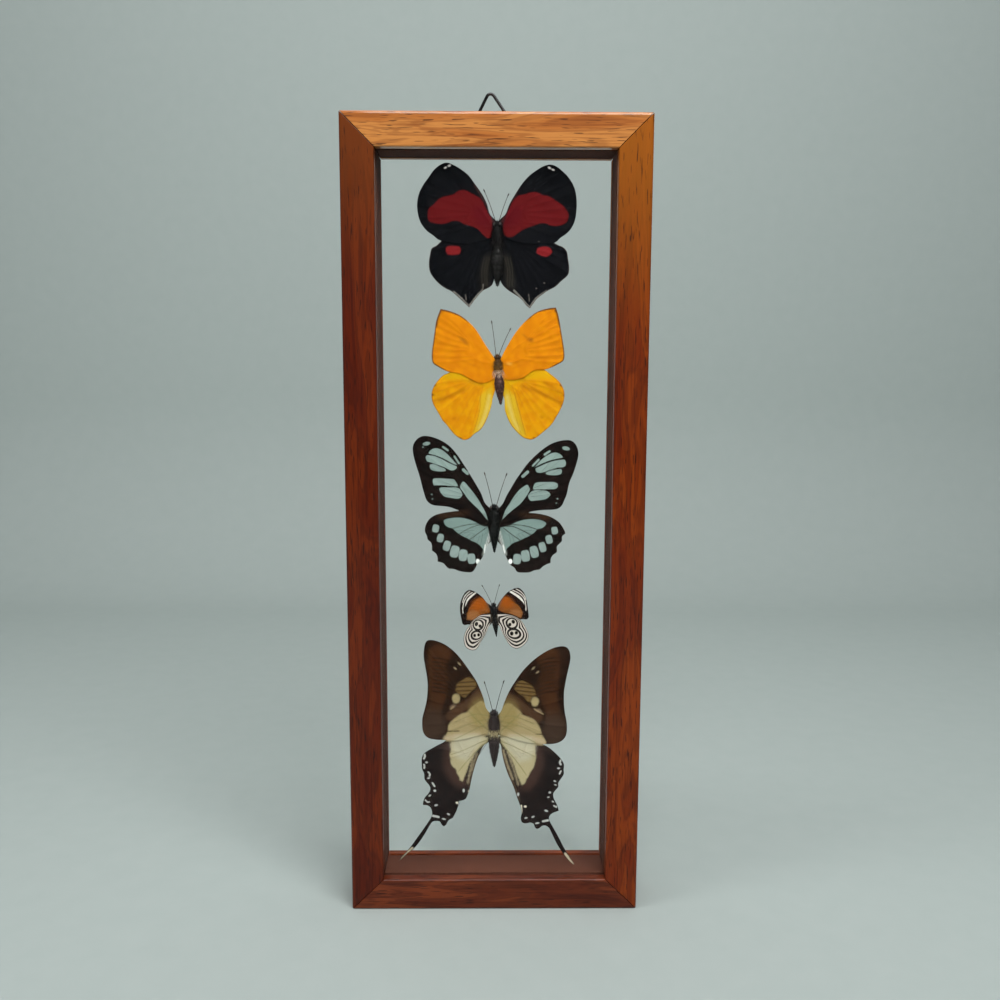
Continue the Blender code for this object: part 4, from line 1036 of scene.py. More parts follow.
# %% Swallowtail's markings
MARKS["swallowtail"] = {
    "cream_fore": (areas([(-3, 14), (-5.3, 15.5), (-7.5, 16.8), (-10, 15), (-12, 13.5),
                          (-14, 11.5), (-15, 10.2), (-18, 9.5), (-20, 8.2), (-22.5, 6), (-24.5, 4),
                          (-25.5, 2), (-25.6, 0.2), (-26, -1.5), (-27, -3.5), (-28.8, -6.4),
                          (-22, -7.5), (-10, -6), (-3, -3)],
                         [(3, 9), (5, 13), (7, 15), (9.5, 14.7), (12, 12.7), (14.5, 10.5),
                          (15.5, 8.8), (19, 7.5), (22, 5.8), (24, 3.5), (25.5, 0.5), (26, -1.5),
                          (27, -4), (28.5, -6.5), (29, -9.2), (20, -9), (8, -6), (3, -4)])
                   + ovals(((-21.1, 18), (4.3, 5.4), 0), ((22.4, 16.2), (4.3, 5.4), 0))),
    "cream_hind": areas([(-3.4, -5), (-10, -3), (-20, -4), (-24, -7.5), (-24, -12), (-24.8, -14.5),
                         (-24.2, -17), (-24.2, -19.5), (-22.8, -22), (-21.5, -22.8),
                         (-20.7, -25.5), (-19.5, -27.5), (-19.2, -29.5), (-17.5, -30),
                         (-16.8, -28), (-15.8, -25.5), (-14.6, -22), (-11, -14), (-7, -9.5),
                         (-4, -7.5)],
                        [(3.4, -5), (12, -4), (20, -5), (22.5, -8), (22.8, -11), (23, -14),
                         (23.3, -16.5), (22.8, -19), (21.8, -22.5), (20, -25), (19.3, -27),
                         (18, -29), (17.2, -31), (15.5, -32.5), (14.5, -30), (13, -26.5),
                         (11.5, -22), (9.5, -17), (7, -12), (4, -8)]),
    "wedge": (strokes(0.9, [(-22.5, 13.5), (-24, 12)])
              + strokes(0.8, [(22, 12), (27, 9)])),
    "notch": strokes(0.6, [(-28, -0.8), (-24, -0.7), (-19.5, -0.7)], [(23, -2.5), (28.4, -2.8)]),
    "olive": areas([(-21.5, 22.5), (-20.5, 26.5), (-17.5, 28.5), (-15, 30), (-12.5, 29.5),
                    (-10, 26.5), (-10.5, 24), (-13, 22), (-16, 18.7), (-18, 19.5), (-20, 21)],
                   [(11, 23.5), (12.5, 27), (15, 28.3), (18, 27), (21, 25), (22.3, 23), (23, 20),
                    (21, 19.5), (19.5, 16), (18, 16.5), (16, 19.5), (14, 20.5)]),
    "bars": (strokes(0.7, [(-22, 24.6), (-16, 24.9), (-10, 25)],
                     [(-21.5, 26.8), (-16, 27.3), (-11, 27.6)],
                     [(-20.8, 22.4), (-16, 22.5), (-12.5, 22.6)],
                     [(11, 24.9), (17, 24.4), (22.5, 23.6)],
                     [(12.5, 26.9), (17, 26.4), (20, 25.9)],
                     [(12.5, 22.6), (17, 22.1), (23, 21.4)])
             + strokes(0.6, [(-19, 20.2), (-16, 20.3), (-14, 20.4)],
                       [(15, 20.3), (18, 19.8), (21, 19.4)])),
    "costal": ovals(((-19.3, 37.8), (2.4, 0.9), -50), ((-21.6, 35.2), (2.2, 0.9), -40),
                    ((21.3, 35.2), (2.6, 1.0), 45), ((23.7, 33), (2.2, 0.9), 40)),
    "pale_field": [("area", [(side * x - 0.4 + 0.4 * side, z - 0.8 - 0.8 * side) for x, z in (
        (35.5, 46), (30, 48.5), (25, 46.5), (23, 43), (25.5, 36), (24.5, 30), (25, 22), (26.5, 17),
        (29, 11), (28.5, 4), (29.5, -3), (33, -5.5), (37.5, -3), (38.8, 2), (37, 10), (35, 18),
        (35, 28), (35.8, 38))]) for side in (-1, 1)],
    "stripes": [("stroke", 0.9, [(side * (34 + 0.8 * math.sin(3 * z)), z), (side * 29, z - 0.5),
                                 (side * (25 - 0.6 * math.sin(2 * z)), z - 1.8)])
                for side in (-1, 1) for z in (22, 24.2, 26.4, 28.6, 30.6, 32.6, 34.6, 36.6, 38.6,
                                              41)],
    "smear": ovals(((-23, 13.4), (3.6, 2.0), 25), ((24.5, 11), (3.6, 2.0), -25)),
    "lower_field": ovals(((-34, 2), (14, 20), 0), ((33.5, -1), (14, 20), 0)),
    "brown_band": strokes(5.0, [(-8, 21), (-13, 16), (-19, 12), (-24, 8)],
                          [(7, 19), (12, 16), (18, 11), (24, 7)]),
    "fore_base": ovals(((-8, 9), (11, 17), 0), ((8, 8), (11, 17), 0)),
    "fore_glow": strokes(2.8, [(-26.5, -5), (-22, -4), (-15, -3.6), (-9, -3)],
                         [(26.5, -7), (22, -5.4), (15, -4.6), (9, -3.4)]),
    # Paler cream near the body on the hindwings, partly a painted highlight.
    "paler_cream_and_highlight": areas([(-5, -5), (-12, -3.2), (-21, -4), (-24, -9), (-21, -16), (-15, -18),
                         (-9, -10)],
                        [(5, -5), (12, -4), (20, -5), (22.8, -10), (20, -17), (14, -19),
                         (8, -12)]),
    "brown_halo": areas([(-20, -5), (-26, -8), (-28, -16), (-27, -26), (-20, -34), (-15, -32),
                         (-18, -20)],
                        [(20, -5), (25, -9), (27, -16), (26, -26), (20, -36), (14, -35),
                         (17, -20)]),
    "hairs": (strokes(1.0, [(-11.2, -12), (-12.8, -21), (-14.7, -31)],
                      [(5, -12), (7, -19), (10.5, -29)], [(7.6, -13), (10.5, -22), (13.5, -32)])
              + strokes(0.8, [(-9.6, -14), (-11.3, -19), (-12.6, -24)])),
    "crescents": (strokes(1.1, [(-38.9, -14.8), (-38.7, -16.2), (-39.2, -17.4)],
                          [(37.2, -18.2), (36.7, -19.8), (37.3, -20.9)])
                  + ovals(((-37.7, -19.5), (1.6, 1.1), 0), ((-36.6, -28.8), (1.7, 0.9), 20),
                          ((-33.2, -36), (1.6, 1.3), 0), ((-36, -39), (1.8, 0.9), 40),
                          ((-32.5, -44.6), (2.2, 1.1), 20), ((-28.2, -52.5), (2.3, 1.0), -10),
                          ((-25.5, -49.7), (1.9, 1.1), -25), ((-17, -35.5), (1.3, 2.2), 0),
                          ((36, -23), (1.7, 1.1), 0), ((34, -30.5), (1.8, 1.0), -20),
                          ((34.4, -32.8), (1.5, 0.8), -20), ((31.2, -37), (1.6, 1.3), 0),
                          ((30.5, -39.8), (1.5, 0.9), 0), ((33, -42.5), (1.6, 0.9), -40),
                          ((29.3, -47.8), (2.2, 1.1), -20), ((24.3, -55), (2.3, 1.0), 10),
                          ((21.9, -51.2), (1.9, 1.1), 25), ((18, -51.8), (1.8, 1.0), 10),
                          ((13.5, -37.7), (1.3, 2.0), 0))
                  + strokes(1.0, [(-39.2, -20.8), (-38.9, -22), (-39.1, -23)],
                            [(-34.4, -31.6), (-33.3, -33.4)])
                  + strokes(0.9, [(-36.8, -25.2), (-35.9, -26.4), (-36.2, -27.6)],
                            [(37.4, -24.7), (36.6, -26.2)], [(33.6, -45), (35, -46), (35.6, -45)])
                  + strokes(0.8, [(-38.6, -41.8), (-37.4, -43), (-36.2, -42.8)])
                  + strokes(1.3, [(-34.6, -50.8), (-31.2, -51.4)], [(27.6, -54), (30.6, -53.4)])),
    "pale_marks": (ovals(((-20.7, -42.8), (1.6, 1.4), 0), ((-18.5, -42), (1.6, 1.1), 0),
                         ((-14, -36), (1.0, 2.0), 10), ((17.5, -45), (1.6, 1.3), 0))
                   + strokes(1.0, [(15.2, -44.4), (15.4, -48.8)])),
    "tails": strokes(1.5, [(-46.2, -70.6), (-49, -73.6), (-52, -76.9), (-53.5, -78.3)],
                     [(40.4, -74), (42.5, -77), (44.8, -79.9), (45.7, -81)]),
    "green": (strokes(0.6, [(-14, 10.5), (-9.5, 5.6), (-4, 0.2)],
                      [(14.5, 9.5), (9.5, 4.6), (4, -0.6)])
              + strokes(0.45, [(-3.5, 8), (-9, 9), (-15, 7.6), (-22, 4.4)],
                        [(-3.5, 6), (-10, 4.6), (-17, 2.2), (-25, -1.6)],
                        [(-3.5, 4), (-9, 1.2), (-16, -2.4), (-22, -5.4)],
                        [(-4, -6), (-10, -8.5), (-16, -11.5), (-24, -14.6)],
                        [(-4, -7), (-9, -11.5), (-14, -17), (-20, -24.5)],
                        [(3.3, 7), (9, 8), (15, 6.4), (22, 3.4)],
                        [(3.3, 5), (10, 3.4), (17, 1), (25, -3)],
                        [(3.3, 3), (9, 0), (16, -3.8), (23, -7.4)],
                        [(4, -7), (10, -9.4), (16, -12.4), (22.6, -15.6)],
                        [(4, -8), (8, -13), (12.5, -18.5), (18, -26.5)])),
    "inner_edge": strokes(2.2, [(-4.6, -9), (-7.5, -14.5), (-10, -21), (-12, -29), (-13.4, -36)],
                          [(3.6, -9), (5.4, -16), (8, -25), (11, -33.5), (13.6, -41)]),
}
tail_layers = [
    ("pale_field", tint(64, 36, 15), 1.6, 0.8, 0.8),
    ("lower_field", tint(56, 43, 34), 4.0, 1.0, 0.8),
    ("brown_band", tint(74, 50, 32), 1.6, 0.8, 0.8),
    ("stripes", tint(18, 8, 2), 0.5, 0.3, 0.85),
    ("olive", tint(100, 78, 42), 0.6, 0.5, 0.95),
    ("bars", tint(46, 29, 14), 0.35, 0.25, 0.9),
    ("costal", tint(148, 132, 104), 0.3, 0.2, 0.85),
    ("smear", tint(118, 98, 78), 0.7, 0.3, 0.7),
    ("brown_halo", tint(66, 47, 40), 3.4, 1.2, 0.75),
    ("inner_edge", tint(78, 62, 48), 1.0, 0.7, 0.8),
    ("cream_fore", tint(148, 133, 95), 0.7, 0.5, 1.0),
    ("fore_base", tint(130, 114, 66), 3.0, 1.0, 0.75),
    ("fore_glow", tint(174, 158, 130), 1.6, 0.8, 0.7),
    ("cream_hind", tint(162, 152, 116), 0.7, 0.6, 1.0),
    # Paler cream near the body, partly a painted highlight.
    ("paler_cream_and_highlight", tint(174, 169, 146), 2.4, 0.8, 0.75),
    ("hairs", tint(160, 146, 116), 0.8, 0.7, 0.7),
    ("wedge", tint(150, 132, 96), 0.3, 0.2, 0.7),
    ("notch", tint(40, 26, 14), 0.25, 0.2, 0.9),
    ("green", tint(112, 108, 66), 0.3, 0.2, 0.8),
    ("crescents", tint(176, 178, 172), 0.22, 0.2, 1.0),
    ("pale_marks", tint(214, 206, 184), 0.22, 0.2, 1.0),
    ("tails", tint(196, 186, 158), 0.35, 0.3, 0.9),
]
LOOKS["swallowtail"] = {
    "forewing": dict(ground=tint(25, 12, 4), shade=tint(36, 19, 8), layers=tail_layers,
                     veins=(tint(60, 42, 26), 0.35, 0.0)),
    "hindwing": dict(ground=tint(22, 17, 16), shade=tint(32, 24, 22), layers=tail_layers,
                     veins=(tint(60, 48, 36), 0.35, 0.0), edge=(0.3, tint(20, 16, 12), 0.7, 20)),
}
print("swallowtail:", sum(len(shapes) for shapes in MARKS["swallowtail"].values()), "shapes")

# %% [markdown]
# The small butterfly's black lines run round its rings and follow the wing's margin at the same
# time. The share of the way from the nearest ring to the margin has both shapes in it, so the lines
# lie where a wave of that share is high, and no line has to be drawn by hand.

# %% Making the wings
LINES_ACROSS = 3.0
FIRST_LINE = 0.36
LINE_MM, LINE_GAIN = 0.3, 0.05
UNDERSIDES = {"redband": tint(52, 44, 42), "orange": tint(196, 142, 62), "window": tint(74, 66, 56),
              "ringed": tint(64, 72, 96), "swallowtail": tint(96, 82, 64)}
# How far the wings' inner corners move in, and between which heights.
TUCKS = {"redband": (2.4, -20, 13), "orange": (1.8, -15, 7), "window": (2.4, -10, 9),
         "ringed": (1.3, -5, 5), "swallowtail": (2.4, -9, 10)}
# The small butterfly's fine pattern needs small cells, and its wings are flatter, with thinner
# veins.
USUAL = dict(cell=0.5, vein_radius=0.12, lift=1.0)
FINE = dict(cell=0.2, vein_radius=0.07, lift=0.35)
HINDWING_NEARER = -0.4


def add_contour_lines(mesh):
    """Lines between the rings and the margin, as a field that is over 0 on a line."""
    count = len(mesh.vertices)
    rings, margin = np.empty(count, np.float32), np.empty(count, np.float32)
    mesh.attributes["rings"].data.foreach_get("value", rings)
    mesh.attributes["margin"].data.foreach_get("value", margin)
    outside = np.maximum(-rings, 0)
    share = outside / np.maximum(outside + margin, 0.01)
    wave = np.cos(2 * np.pi * LINES_ACROSS * (share - FIRST_LINE))
    layer = mesh.attributes.new("lines", "FLOAT", "POINT")
    layer.data.foreach_set("value", (LINE_MM * (wave + LINE_GAIN)).astype(np.float32))


for kind, middle in MIDDLES.items():
    for part in ("forewing", "hindwing"):
        look = LOOKS[kind][part]
        upper = scaled_finish(f"{kind}_{part}_scales", **look)
        under = scaled_finish(f"{kind}_{part}_under", **look, faded=0.45, beneath=UNDERSIDES[kind])
        for side in ("left", "right"):
            node = f"{kind}_{part}_{side}"
            small = kind == "ringed"
            mesh = build_wing(node, middle, ANCHORS[kind, part], MARKS[kind], TUCKS[kind],
                              nearer=HINDWING_NEARER if part == "hindwing" and not small else 0.0,
                              **(FINE if small else USUAL))
            if small:
                add_contour_lines(mesh)
            wing = place(node + "_scaled", mesh, [upper, under], kind + "_wing", [node])
            print(wing.name, len(mesh.polygons), "faces")

# %% [markdown]
# A butterfly's body is three parts in a row: a round head with two big eyes, a thick furry thorax
# that carries the wings, and a soft abdomen of overlapping rings that ends in a point. The ball
# shapes are stretched spheres, the abdomen is a profile spun round its axis, and the fur is many
# thin three-sided cones that lean towards the tail. Each body is shaped along its own axis and laid
# in place at the end.

# %% Chitin, eyes and fur finishes
def chitin(name, dark, light, rows):
    """Dull horny skin with pale dust, and rings across the body's axis where rows is over 0."""
    made = new_material(name, Roughness=0.6, Specular_IOR_Level=0.14)
    where = coordinates(made)
    dust = noise(made, where, 1500.0, 4.0)
    colour = blend(made, ramp(made, dust, 0.42, 0.72), dark, light)
    height = sums(made, "ADD", dust, sums(made, "MULTIPLY", noise(made, where, 500.0), 0.5))
    if rows:
        up = add(made, "SeparateXYZ", {"Vector": where}).outputs["Z"]
        wave = sums(made, "SINE", sums(made, "MULTIPLY", up, 2 * math.pi * rows / MM), 0.0)
        height = sums(made, "ADD", height, sums(made, "MULTIPLY", wave, 0.4))
    feed(made, Base_Color=colour, Normal=raised(made, height, 0.5, 0.12 * MM))
    return made


def hair_finish(name, root, tip):
    made = new_material(name, Roughness=0.6, Specular_IOR_Level=0.12)
    streaks = noise(made, coordinates(made), 1300.0, 1.0)
    feed(made, Base_Color=blend(made, ramp(made, streaks, 0.35, 0.65), root, tip))
    return made


eye_finish = new_material("faceted_eye", Roughness=0.28, Coat_Weight=0.4, Coat_Roughness=0.15)
facets = add(eye_finish, "TexVoronoi", {"Vector": coordinates(eye_finish), "Scale": 5500.0})
feed(eye_finish,
     Base_Color=blend(eye_finish, facets.outputs["Distance"], tint(34, 22, 16), tint(12, 9, 8)),
     Normal=raised(eye_finish, facets.outputs["Distance"], 0.4, 0.05 * MM))
print("eye, skin and hair finishes ready")

# %% Shapes of a body
# The middles of the thorax and the head and the start of the abdomen, as shares of the length.
THORAX, HEAD, ABDOMEN = 0.24, 0.07, 0.36
GOLDEN_TURN = math.pi * (3 - math.sqrt(5))
SKIN, EYE, RINGED_SKIN, FUR, DOWN, TUFT = range(6)
HAIRS_AT_ONCE = 50


def ball(bm, centre, radii, finish):
    made = bmesh.ops.create_uvsphere(bm, u_segments=20, v_segments=14, radius=1.0)
    matrix = Matrix.Translation(centre) @ Matrix.Diagonal((*radii, 1.0))
    bmesh.ops.transform(bm, verts=made["verts"], matrix=matrix)
    for vert in made["verts"]:
        for face in vert.link_faces:
            face.material_index = finish


def abdomen_radius(share, girth, bluntness):
    """The abdomen's half width at a share of its length: a long drop, with a dip at each ring."""
    drop = math.sin(math.pi * min(0.5, 0.16 + share * 0.8)) if share < 0.42 else 1.0
    taper = 1.0 if share < 0.3 else max(0.0, 1 - ((share - 0.3) / 0.7) ** bluntness)
    ring = 1 - 0.07 * abs(math.cos(math.pi * 8 * share)) ** 6
    return girth * drop * taper * ring


def hairs(bm, roots, length, thickness, finish, seed):
    """Thin cones from (place, direction) pairs, some at a time, because a small mesh grows fast."""
    rng = np.random.default_rng(seed)
    for first in range(0, len(roots), HAIRS_AT_ONCE):
        tuft = bmesh.new()
        for where, direction in roots[first:first + HAIRS_AT_ONCE]:
            size = length * rng.uniform(0.55, 1.2)
            lean = Vector(direction) + Vector(rng.normal(0, 0.22, 3))
            turn = lean.to_track_quat("Z", "Y").to_matrix().to_4x4()
            middle = Vector(where) + lean.normalized() * size * 0.45
            bmesh.ops.create_cone(tuft, cap_ends=True, segments=3, radius1=thickness, radius2=0.0,
                                  depth=size, matrix=Matrix.Translation(middle) @ turn)
        for face in tuft.faces:
            face.material_index = finish
        joined = bpy.data.meshes.new("tuft")
        tuft.to_mesh(joined)
        tuft.free()
        bm.from_mesh(joined)
        bpy.data.meshes.remove(joined)


def ball_roots(centre, radii, count, lean):
    """Evenly spread places on a stretched sphere, with directions that lean along +Z."""
    roots = []
    for i in range(count):
        z = 1 - 2 * (i + 0.5) / count
        across = math.sqrt(1 - z * z)
        angle = i * GOLDEN_TURN
        normal = Vector((across * math.cos(angle), across * math.sin(angle), z))
        where = Vector(centre) + Vector([n * r * 0.96 for n, r in zip(normal, radii)])
        roots.append((where, normal * 0.8 + Vector((0, 0, lean))))
    return roots


def abdomen_roots(start, length, girth, bluntness, count):
    roots = []
    for i in range(count):
        share = 0.02 + 0.93 * i / count
        angle = i * GOLDEN_TURN
        radius = abdomen_radius(share, girth, bluntness) * 0.97
        normal = Vector((math.cos(angle), math.sin(angle), 0.0))
        roots.append((normal * radius + Vector((0, 0, start + share * length)),
                      normal * 0.35 + Vector((0, 0, 1.0))))
    return roots


def laid_along(bm, head, tip, depth):
    """Moves a body from its own axis, in millimetres, to its place in the frame."""
    along = Vector((tip[0] - head[0], 0.0, tip[1] - head[1])).normalized()
    back = Vector((0.0, 1.0, 0.0))
    turn = Matrix((back.cross(along), back, along)).transposed().to_4x4()
    moved = Matrix.Translation((head[0] * MM, depth, head[1] * MM)) @ turn @ Matrix.Scale(MM, 4)
    bmesh.ops.transform(bm, matrix=moved, verts=bm.verts)


def build_body(kind, facts):
    middle = MIDDLES[kind]
    head = (facts["head"][0] + middle[0], facts["head"][1] + middle[1])
    tip = (facts["tip"][0] + middle[0], facts["tip"][1] + middle[1])
    length = math.hypot(tip[0] - head[0], tip[1] - head[1])
    chest, belly, blunt = facts["chest"], facts["belly"], facts["bluntness"]
    low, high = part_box(kind + "_body")
    depth = (low[1] + high[1]) / 2 - 0.3 * chest * MM
    bm = bmesh.new()
    head_radius = chest * 0.56
    ball(bm, (0, 0, HEAD * length), (head_radius, head_radius, head_radius * 1.05), SKIN)
    eye_size = (head_radius * 0.52, head_radius * 0.62, head_radius * 0.68)
    for side in (-1, 1):
        ball(bm, (side * head_radius * 0.78, -head_radius * 0.25,
                  HEAD * length - 0.1 * head_radius),
             eye_size, EYE)
    chest_size = (chest * 0.92, chest * 0.95, length * 0.17)
    ball(bm, (0, 0, THORAX * length), chest_size, SKIN)
    start = ABDOMEN * length
    line = [bm.verts.new((0, 0, start - 0.6))]
    steps = 40
    for i in range(steps):
        share = i / steps
        where = (abdomen_radius(share, belly, blunt), 0, start + share * (length - start))
        line.append(bm.verts.new(where))
    line.append(bm.verts.new((0, 0, length)))
    edges = [bm.edges.new(pair) for pair in zip(line, line[1:])]
    spun = bmesh.ops.spin(bm, geom=line + edges, cent=(0, 0, 0), axis=(0, 0, 1),
                          angle=2 * math.pi, steps=20, use_merge=True)
    for face in {f for e in edges for f in e.link_faces}:
        face.material_index = RINGED_SKIN
    for item in spun["geom_last"]:
        if isinstance(item, bmesh.types.BMVert):
            for face in item.link_faces:
                face.material_index = RINGED_SKIN
    bmesh.ops.remove_doubles(bm, verts=bm.verts, dist=1e-4)
    for face in bm.faces:
        middle_z = face.calc_center_median().z
        if face.material_index == SKIN and middle_z > start + 1.2:
            face.material_index = RINGED_SKIN
    bmesh.ops.recalc_face_normals(bm, faces=bm.faces)
    thick = 0.11 if chest > 2 else 0.06
    reach = facts["fur"]
    chest_roots = ball_roots((0, 0, THORAX * length), chest_size, facts["count"], 0.75)
    head_roots = ball_roots((0, 0, HEAD * length), [head_radius] * 3, facts["count"] // 4, -0.5)
    belly_roots = abdomen_roots(start, length - start, belly, blunt, facts["count"])
    waist_roots = ball_roots((0, 0, 0.35 * length), (belly * 1.1, belly * 1.05, 2.2), facts["tuft"],
                             1.6)
    hairs(bm, chest_roots, reach, thick, FUR, 1)
    hairs(bm, head_roots, reach * 0.5, thick, FUR, 2)
    hairs(bm, belly_roots, reach * 0.45, thick * 0.8, DOWN, 3)
    hairs(bm, waist_roots, reach * 1.7, thick, TUFT, 4)
    laid_along(bm, head, tip, depth)
    return mesh_from(bm, kind + "_body_furry", 60.0)


BODIES = {
    "redband": dict(head=(0.0, 12.6), tip=(0.2, -21.5), chest=3.3, belly=3.4, bluntness=2.1,
                    fur=2.1, count=900, tuft=60,
                    skin=(tint(3, 3, 3), tint(12, 11, 10)),
                    fur_colours=(tint(4, 3, 4), tint(18, 15, 14)),
                    belly_colours=(tint(7, 7, 6), tint(20, 18, 15)),
                    tuft_colours=(tint(20, 17, 15), tint(38, 33, 29))),
    "orange": dict(head=(-0.3, 8.0), tip=(1.7, -19.0), chest=2.7, belly=2.9, bluntness=1.5,
                   fur=1.9, count=800, tuft=110,
                   skin=(tint(26, 16, 11), tint(62, 42, 26)),
                   fur_colours=(tint(48, 29, 12), tint(146, 104, 40)),
                   belly_colours=(tint(50, 31, 27), tint(82, 56, 46)),
                   tuft_colours=(tint(150, 112, 84), tint(222, 196, 176))),
    "window": dict(head=(-1.0, 10.8), tip=(-0.8, -15.8), chest=3.5, belly=2.9, bluntness=1.2,
                   fur=1.7, count=800, tuft=40,
                   skin=(tint(2, 3, 2), tint(8, 9, 7)),
                   fur_colours=(tint(2, 3, 2), tint(14, 14, 12)),
                   belly_colours=(tint(3, 6, 4), tint(11, 15, 12)),
                   tuft_colours=(tint(24, 24, 22), tint(58, 60, 56))),
    "ringed": dict(head=(-1.0, 6.9), tip=(0.8, -12.8), chest=2.0, belly=1.85, bluntness=1.25,
                   fur=0.8, count=450, tuft=30,
                   skin=(tint(3, 3, 3), tint(12, 11, 11)),
                   fur_colours=(tint(4, 3, 4), tint(20, 18, 18)),
                   belly_colours=(tint(5, 5, 4), tint(16, 15, 13)),
                   tuft_colours=(tint(40, 38, 36), tint(70, 66, 62))),
    "swallowtail": dict(head=(-0.2, 11.2), tip=(0.1, -22.6), chest=3.4, belly=3.1, bluntness=1.6,
                        fur=2.3, count=800, tuft=200,
                        skin=(tint(24, 19, 19), tint(46, 38, 37)),
                        fur_colours=(tint(28, 21, 21), tint(72, 59, 54)),
                        belly_colours=(tint(34, 28, 28), tint(62, 54, 50)),
                        tuft_colours=(tint(128, 114, 80), tint(196, 184, 140))),
}
for kind, facts in BODIES.items():
    finishes = [chitin(kind + "_skin", *facts["skin"], 0.0), eye_finish,
                chitin(kind + "_abdomen", *facts["belly_colours"], 0.35),
                hair_finish(kind + "_fur", *facts["fur_colours"]),
                hair_finish(kind + "_down", *facts["belly_colours"]),
                hair_finish(kind + "_tuft", *facts["tuft_colours"])]
    body = place(kind + "_body_furry", build_body(kind, facts), finishes, "dark_chitin",
                 [kind + "_body"])
    print(body.name, len(body.data.polygons), "faces")

# %% [markdown]
# Antennae and legs are tapering tubes, so they are curves with a radius at each point. An antenna
# ends in a club. The six legs of a dried butterfly are folded under its thorax, each with one sharp
# knee. They can be seen through the back pane.

# %% Antennae and legs
ANTENNA_STEPS = 24
horn = new_material("antenna_horn", Roughness=0.5)
rings = noise(horn, coordinates(horn), 2200.0, 1.0)
feed(horn, Base_Color=blend(horn, ramp(horn, rings, 0.4, 0.6), tint(30, 24, 20), tint(70, 58, 48)))

for kind in MIDDLES:
    for side in ("left", "right"):
        node = f"{kind}_antenna_{side}"
        low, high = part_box(node)
        root_x, tip_x = (high[0], low[0]) if side == "left" else (low[0], high[0])
        middle_y = (low[1] + high[1]) / 2
        root = Vector((root_x, middle_y, low[2] - 1.2 * MM))
        tip = Vector((tip_x, middle_y, high[2]))
        bow = Vector(((tip_x - root_x) * 0.05, 0.25 * MM, 0.0))
        slim = 0.12 if kind == "ringed" else 0.16
        line = []
        for i in range(ANTENNA_STEPS + 1):
            share = i / ANTENNA_STEPS
            club = 1.5 * math.exp(-(((share - 0.95) / 0.045) ** 2))
            at = root.lerp(tip, share) - bow * math.sin(math.pi * share)
            end = 0.35 if i == ANTENNA_STEPS else 1.0
            line.append((at, (1.15 - 0.3 * share + club) * end))
        mesh = tapered_tubes(node + "_clubbed", [line], slim)
        place(node + "_clubbed", mesh, [horn], "dark_chitin", [node])

for kind, facts in BODIES.items():
    middle = MIDDLES[kind]
    low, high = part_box(kind + "_body")
    depth = (low[1] + high[1]) / 2
    chest = facts["chest"]
    span = facts["head"][1] - facts["tip"][1]
    lines = []
    for side in (-1, 1):
        for row, (first, last) in enumerate(((0.16, 0.3), (0.24, 0.42), (0.32, 0.55))):
            stations = [(0.45, 0.7, first, 1.3), (1.0, 1.15, first + 0.04, 1.15),
                        (1.12 + 0.08 * row, 1.3, first + 0.09, 0.9), (0.75, 1.42, last - 0.05, 0.8),
                        (0.5, 1.4, last, 0.6), (0.42, 1.36, last + 0.1, 0.45)]
            line = []
            for across, back, down, radius in stations:
                x = middle[0] + facts["head"][0] + side * across * chest
                z = middle[1] + facts["head"][1] - down * span
                line.append(((x * MM, depth + back * chest * MM, z * MM), radius))
            lines.append(line)
    mesh = tapered_tubes(kind + "_legs", lines, 0.2 if chest > 2 else 0.12)
    place(kind + "_legs", mesh, [horn], "dark_chitin")
print("antennae and legs: 10 antennae and 30 legs")

# %% [markdown]
# A short clear rod under each thorax holds the butterfly away from the back pane. It is turned from
# acrylic with polished ends, so it is a cylinder with softly eased rims.

# %% Clear pegs
acrylic = new_material("clear_acrylic", Base_Color=(1.0, 1.0, 1.0, 1.0), Roughness=0.03, IOR=1.49,
                       Transmission_Weight=1.0)
for kind in MIDDLES:
    low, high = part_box(kind + "_peg")
    radius = (high[0] - low[0]) / 2 * 0.8
    centre = [(a + b) / 2 for a, b in zip(low, high)]
    bm = bmesh.new()
    turn = Matrix.Translation(centre) @ Matrix.Rotation(math.pi / 2, 4, "X")
    bmesh.ops.create_cone(bm, cap_ends=True, segments=40, radius1=radius, radius2=radius,
                          depth=high[1] - low[1], matrix=turn)
    ease(bm, hard_edges(bm, 60), 0.2 * MM, 3, clamp=False)
    place(kind + "_peg_polished", mesh_from(bm, kind + "_peg_polished"), [acrylic], "clear_peg",
          [kind + "_peg"])
print("5 clear pegs, the first", round(2 * radius / MM, 1), "mm thick")

# %% [markdown]
# The hanger is three small pieces of metal. The loop is black wire bent to a triangle. The packed
# one is pushed out a little and then smoothed by subdivision, which shrinks a tube. The strap is
# bent sheet, with its edges eased. The screw is turned, with a slot across its head, which is cut
# by pushing a thin box through it.

# %% Hanger
black_paint = new_material("black_wire", Roughness=0.35, Coat_Weight=0.1, Coat_Roughness=0.2)
wear = noise(black_paint, coordinates(black_paint), 420.0, 4.0)
feed(black_paint, Base_Color=blend(black_paint, ramp(black_paint, wear, 0.64, 0.76),
                                   tint(3, 3, 4), tint(26, 24, 22)),
     Roughness=ramp(black_paint, wear, 0.0, 1.6))
zinc = new_material("zinc_plate", Metallic=1.0, Roughness=0.35)
cloudy = noise(zinc, coordinates(zinc), 300.0, 4.0)
feed(zinc, Base_Color=blend(zinc, ramp(zinc, cloudy, 0.3, 0.7), tint(150, 146, 138),
                            tint(186, 182, 172)),
     Roughness=sums(zinc, "MULTIPLY", ramp(zinc, cloudy, -0.4, 1.2), 0.75),
     Normal=raised(zinc, noise(zinc, coordinates(zinc), 2500.0), 0.15, 0.03 * MM))

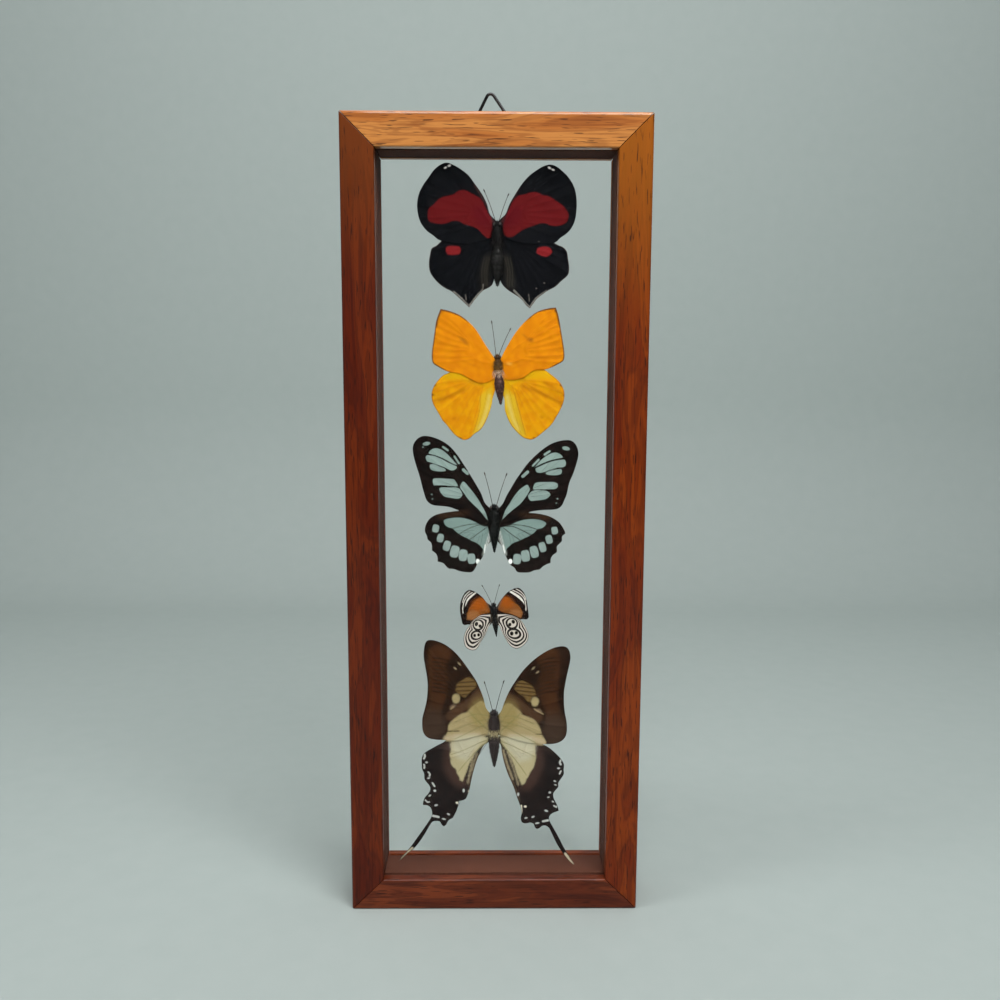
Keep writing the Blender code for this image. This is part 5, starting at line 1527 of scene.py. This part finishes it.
ADDED_WIRE = 0.15
bm = welded_copy("hanging_loop")
bm.normal_update()
for vert in bm.verts:
    vert.co += vert.normal * ADDED_WIRE * MM
loop = place("hanging_loop_smooth", mesh_from(bm, "hanging_loop_smooth", 80.0), [black_paint],
             "black_wire", ["hanging_loop"], body="hanger_loop")
smoother = loop.modifiers.new("smoother", "SUBSURF")
smoother.levels = smoother.render_levels = 2

bm = without_flat_edges("hanger_strap")
ease(bm, hard_edges(bm, 60), 0.12 * MM, 2)
place("hanger_strap_eased", mesh_from(bm, "hanger_strap_eased"), [zinc], "steel", ["hanger_strap"])

low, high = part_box("hanger_screw")
radius = (high[0] - low[0]) / 2 / MM
# The shank's point, the shank and then the round head: (height, radius) in millimetres.
turned = [(10.7, 0.0), (7.4, 1.25), (1.36, 1.25), (1.32, radius * 0.97), (1.2, radius),
          (0.95, radius * 0.98), (0.5, radius * 0.8), (0.15, radius * 0.45), (0.0, 0.0)]
bm = bmesh.new()
line = [bm.verts.new((r, 0, z)) for z, r in turned]
edges = [bm.edges.new(pair) for pair in zip(line, line[1:])]
bmesh.ops.spin(bm, geom=line + edges, cent=(0, 0, 0), axis=(0, 0, 1), angle=2 * math.pi, steps=32,
               use_merge=True)
bmesh.ops.remove_doubles(bm, verts=bm.verts, dist=1e-4)
bmesh.ops.recalc_face_normals(bm, faces=bm.faces)
screw_mesh = mesh_from(bm, "screw_turned", 35.0)
screw = bpy.data.objects.new("screw_turned", screw_mesh)
bm = bmesh.new()
SLOT_TURN = 24
slot_size = Matrix.Diagonal((radius * 3, 0.7, 1.4, 1.0))
slot_turn = Matrix.Rotation(math.radians(SLOT_TURN), 4, "Z")
bmesh.ops.create_cube(bm, size=1.0, matrix=slot_turn @ slot_size)
slot_cutter = bpy.data.objects.new("slot_cutter", mesh_from(bm, "slot_cutter"))
for helper in (screw, slot_cutter):
    bpy.context.scene.collection.objects.link(helper)
cut = screw.modifiers.new("slot", "BOOLEAN")
cut.object = slot_cutter
cut.operation = "DIFFERENCE"
cut.solver = "EXACT"
slotted = bpy.data.meshes.new_from_object(
    screw.evaluated_get(bpy.context.evaluated_depsgraph_get()))
slotted.transform(Matrix.Translation(((low[0] + high[0]) / 2, high[1], (low[2] + high[2]) / 2))
                  @ Matrix.Rotation(math.pi / 2, 4, "X") @ Matrix.Scale(MM, 4))
for helper in (screw, slot_cutter):
    bpy.data.objects.remove(helper)
slotted.name = "hanger_screw_slotted"
slotted.materials.clear()
place("hanger_screw_slotted", slotted, [zinc], "steel", ["hanger_screw"])
print("hanger: loop, strap and a", round(2 * radius, 1), "mm screw head")
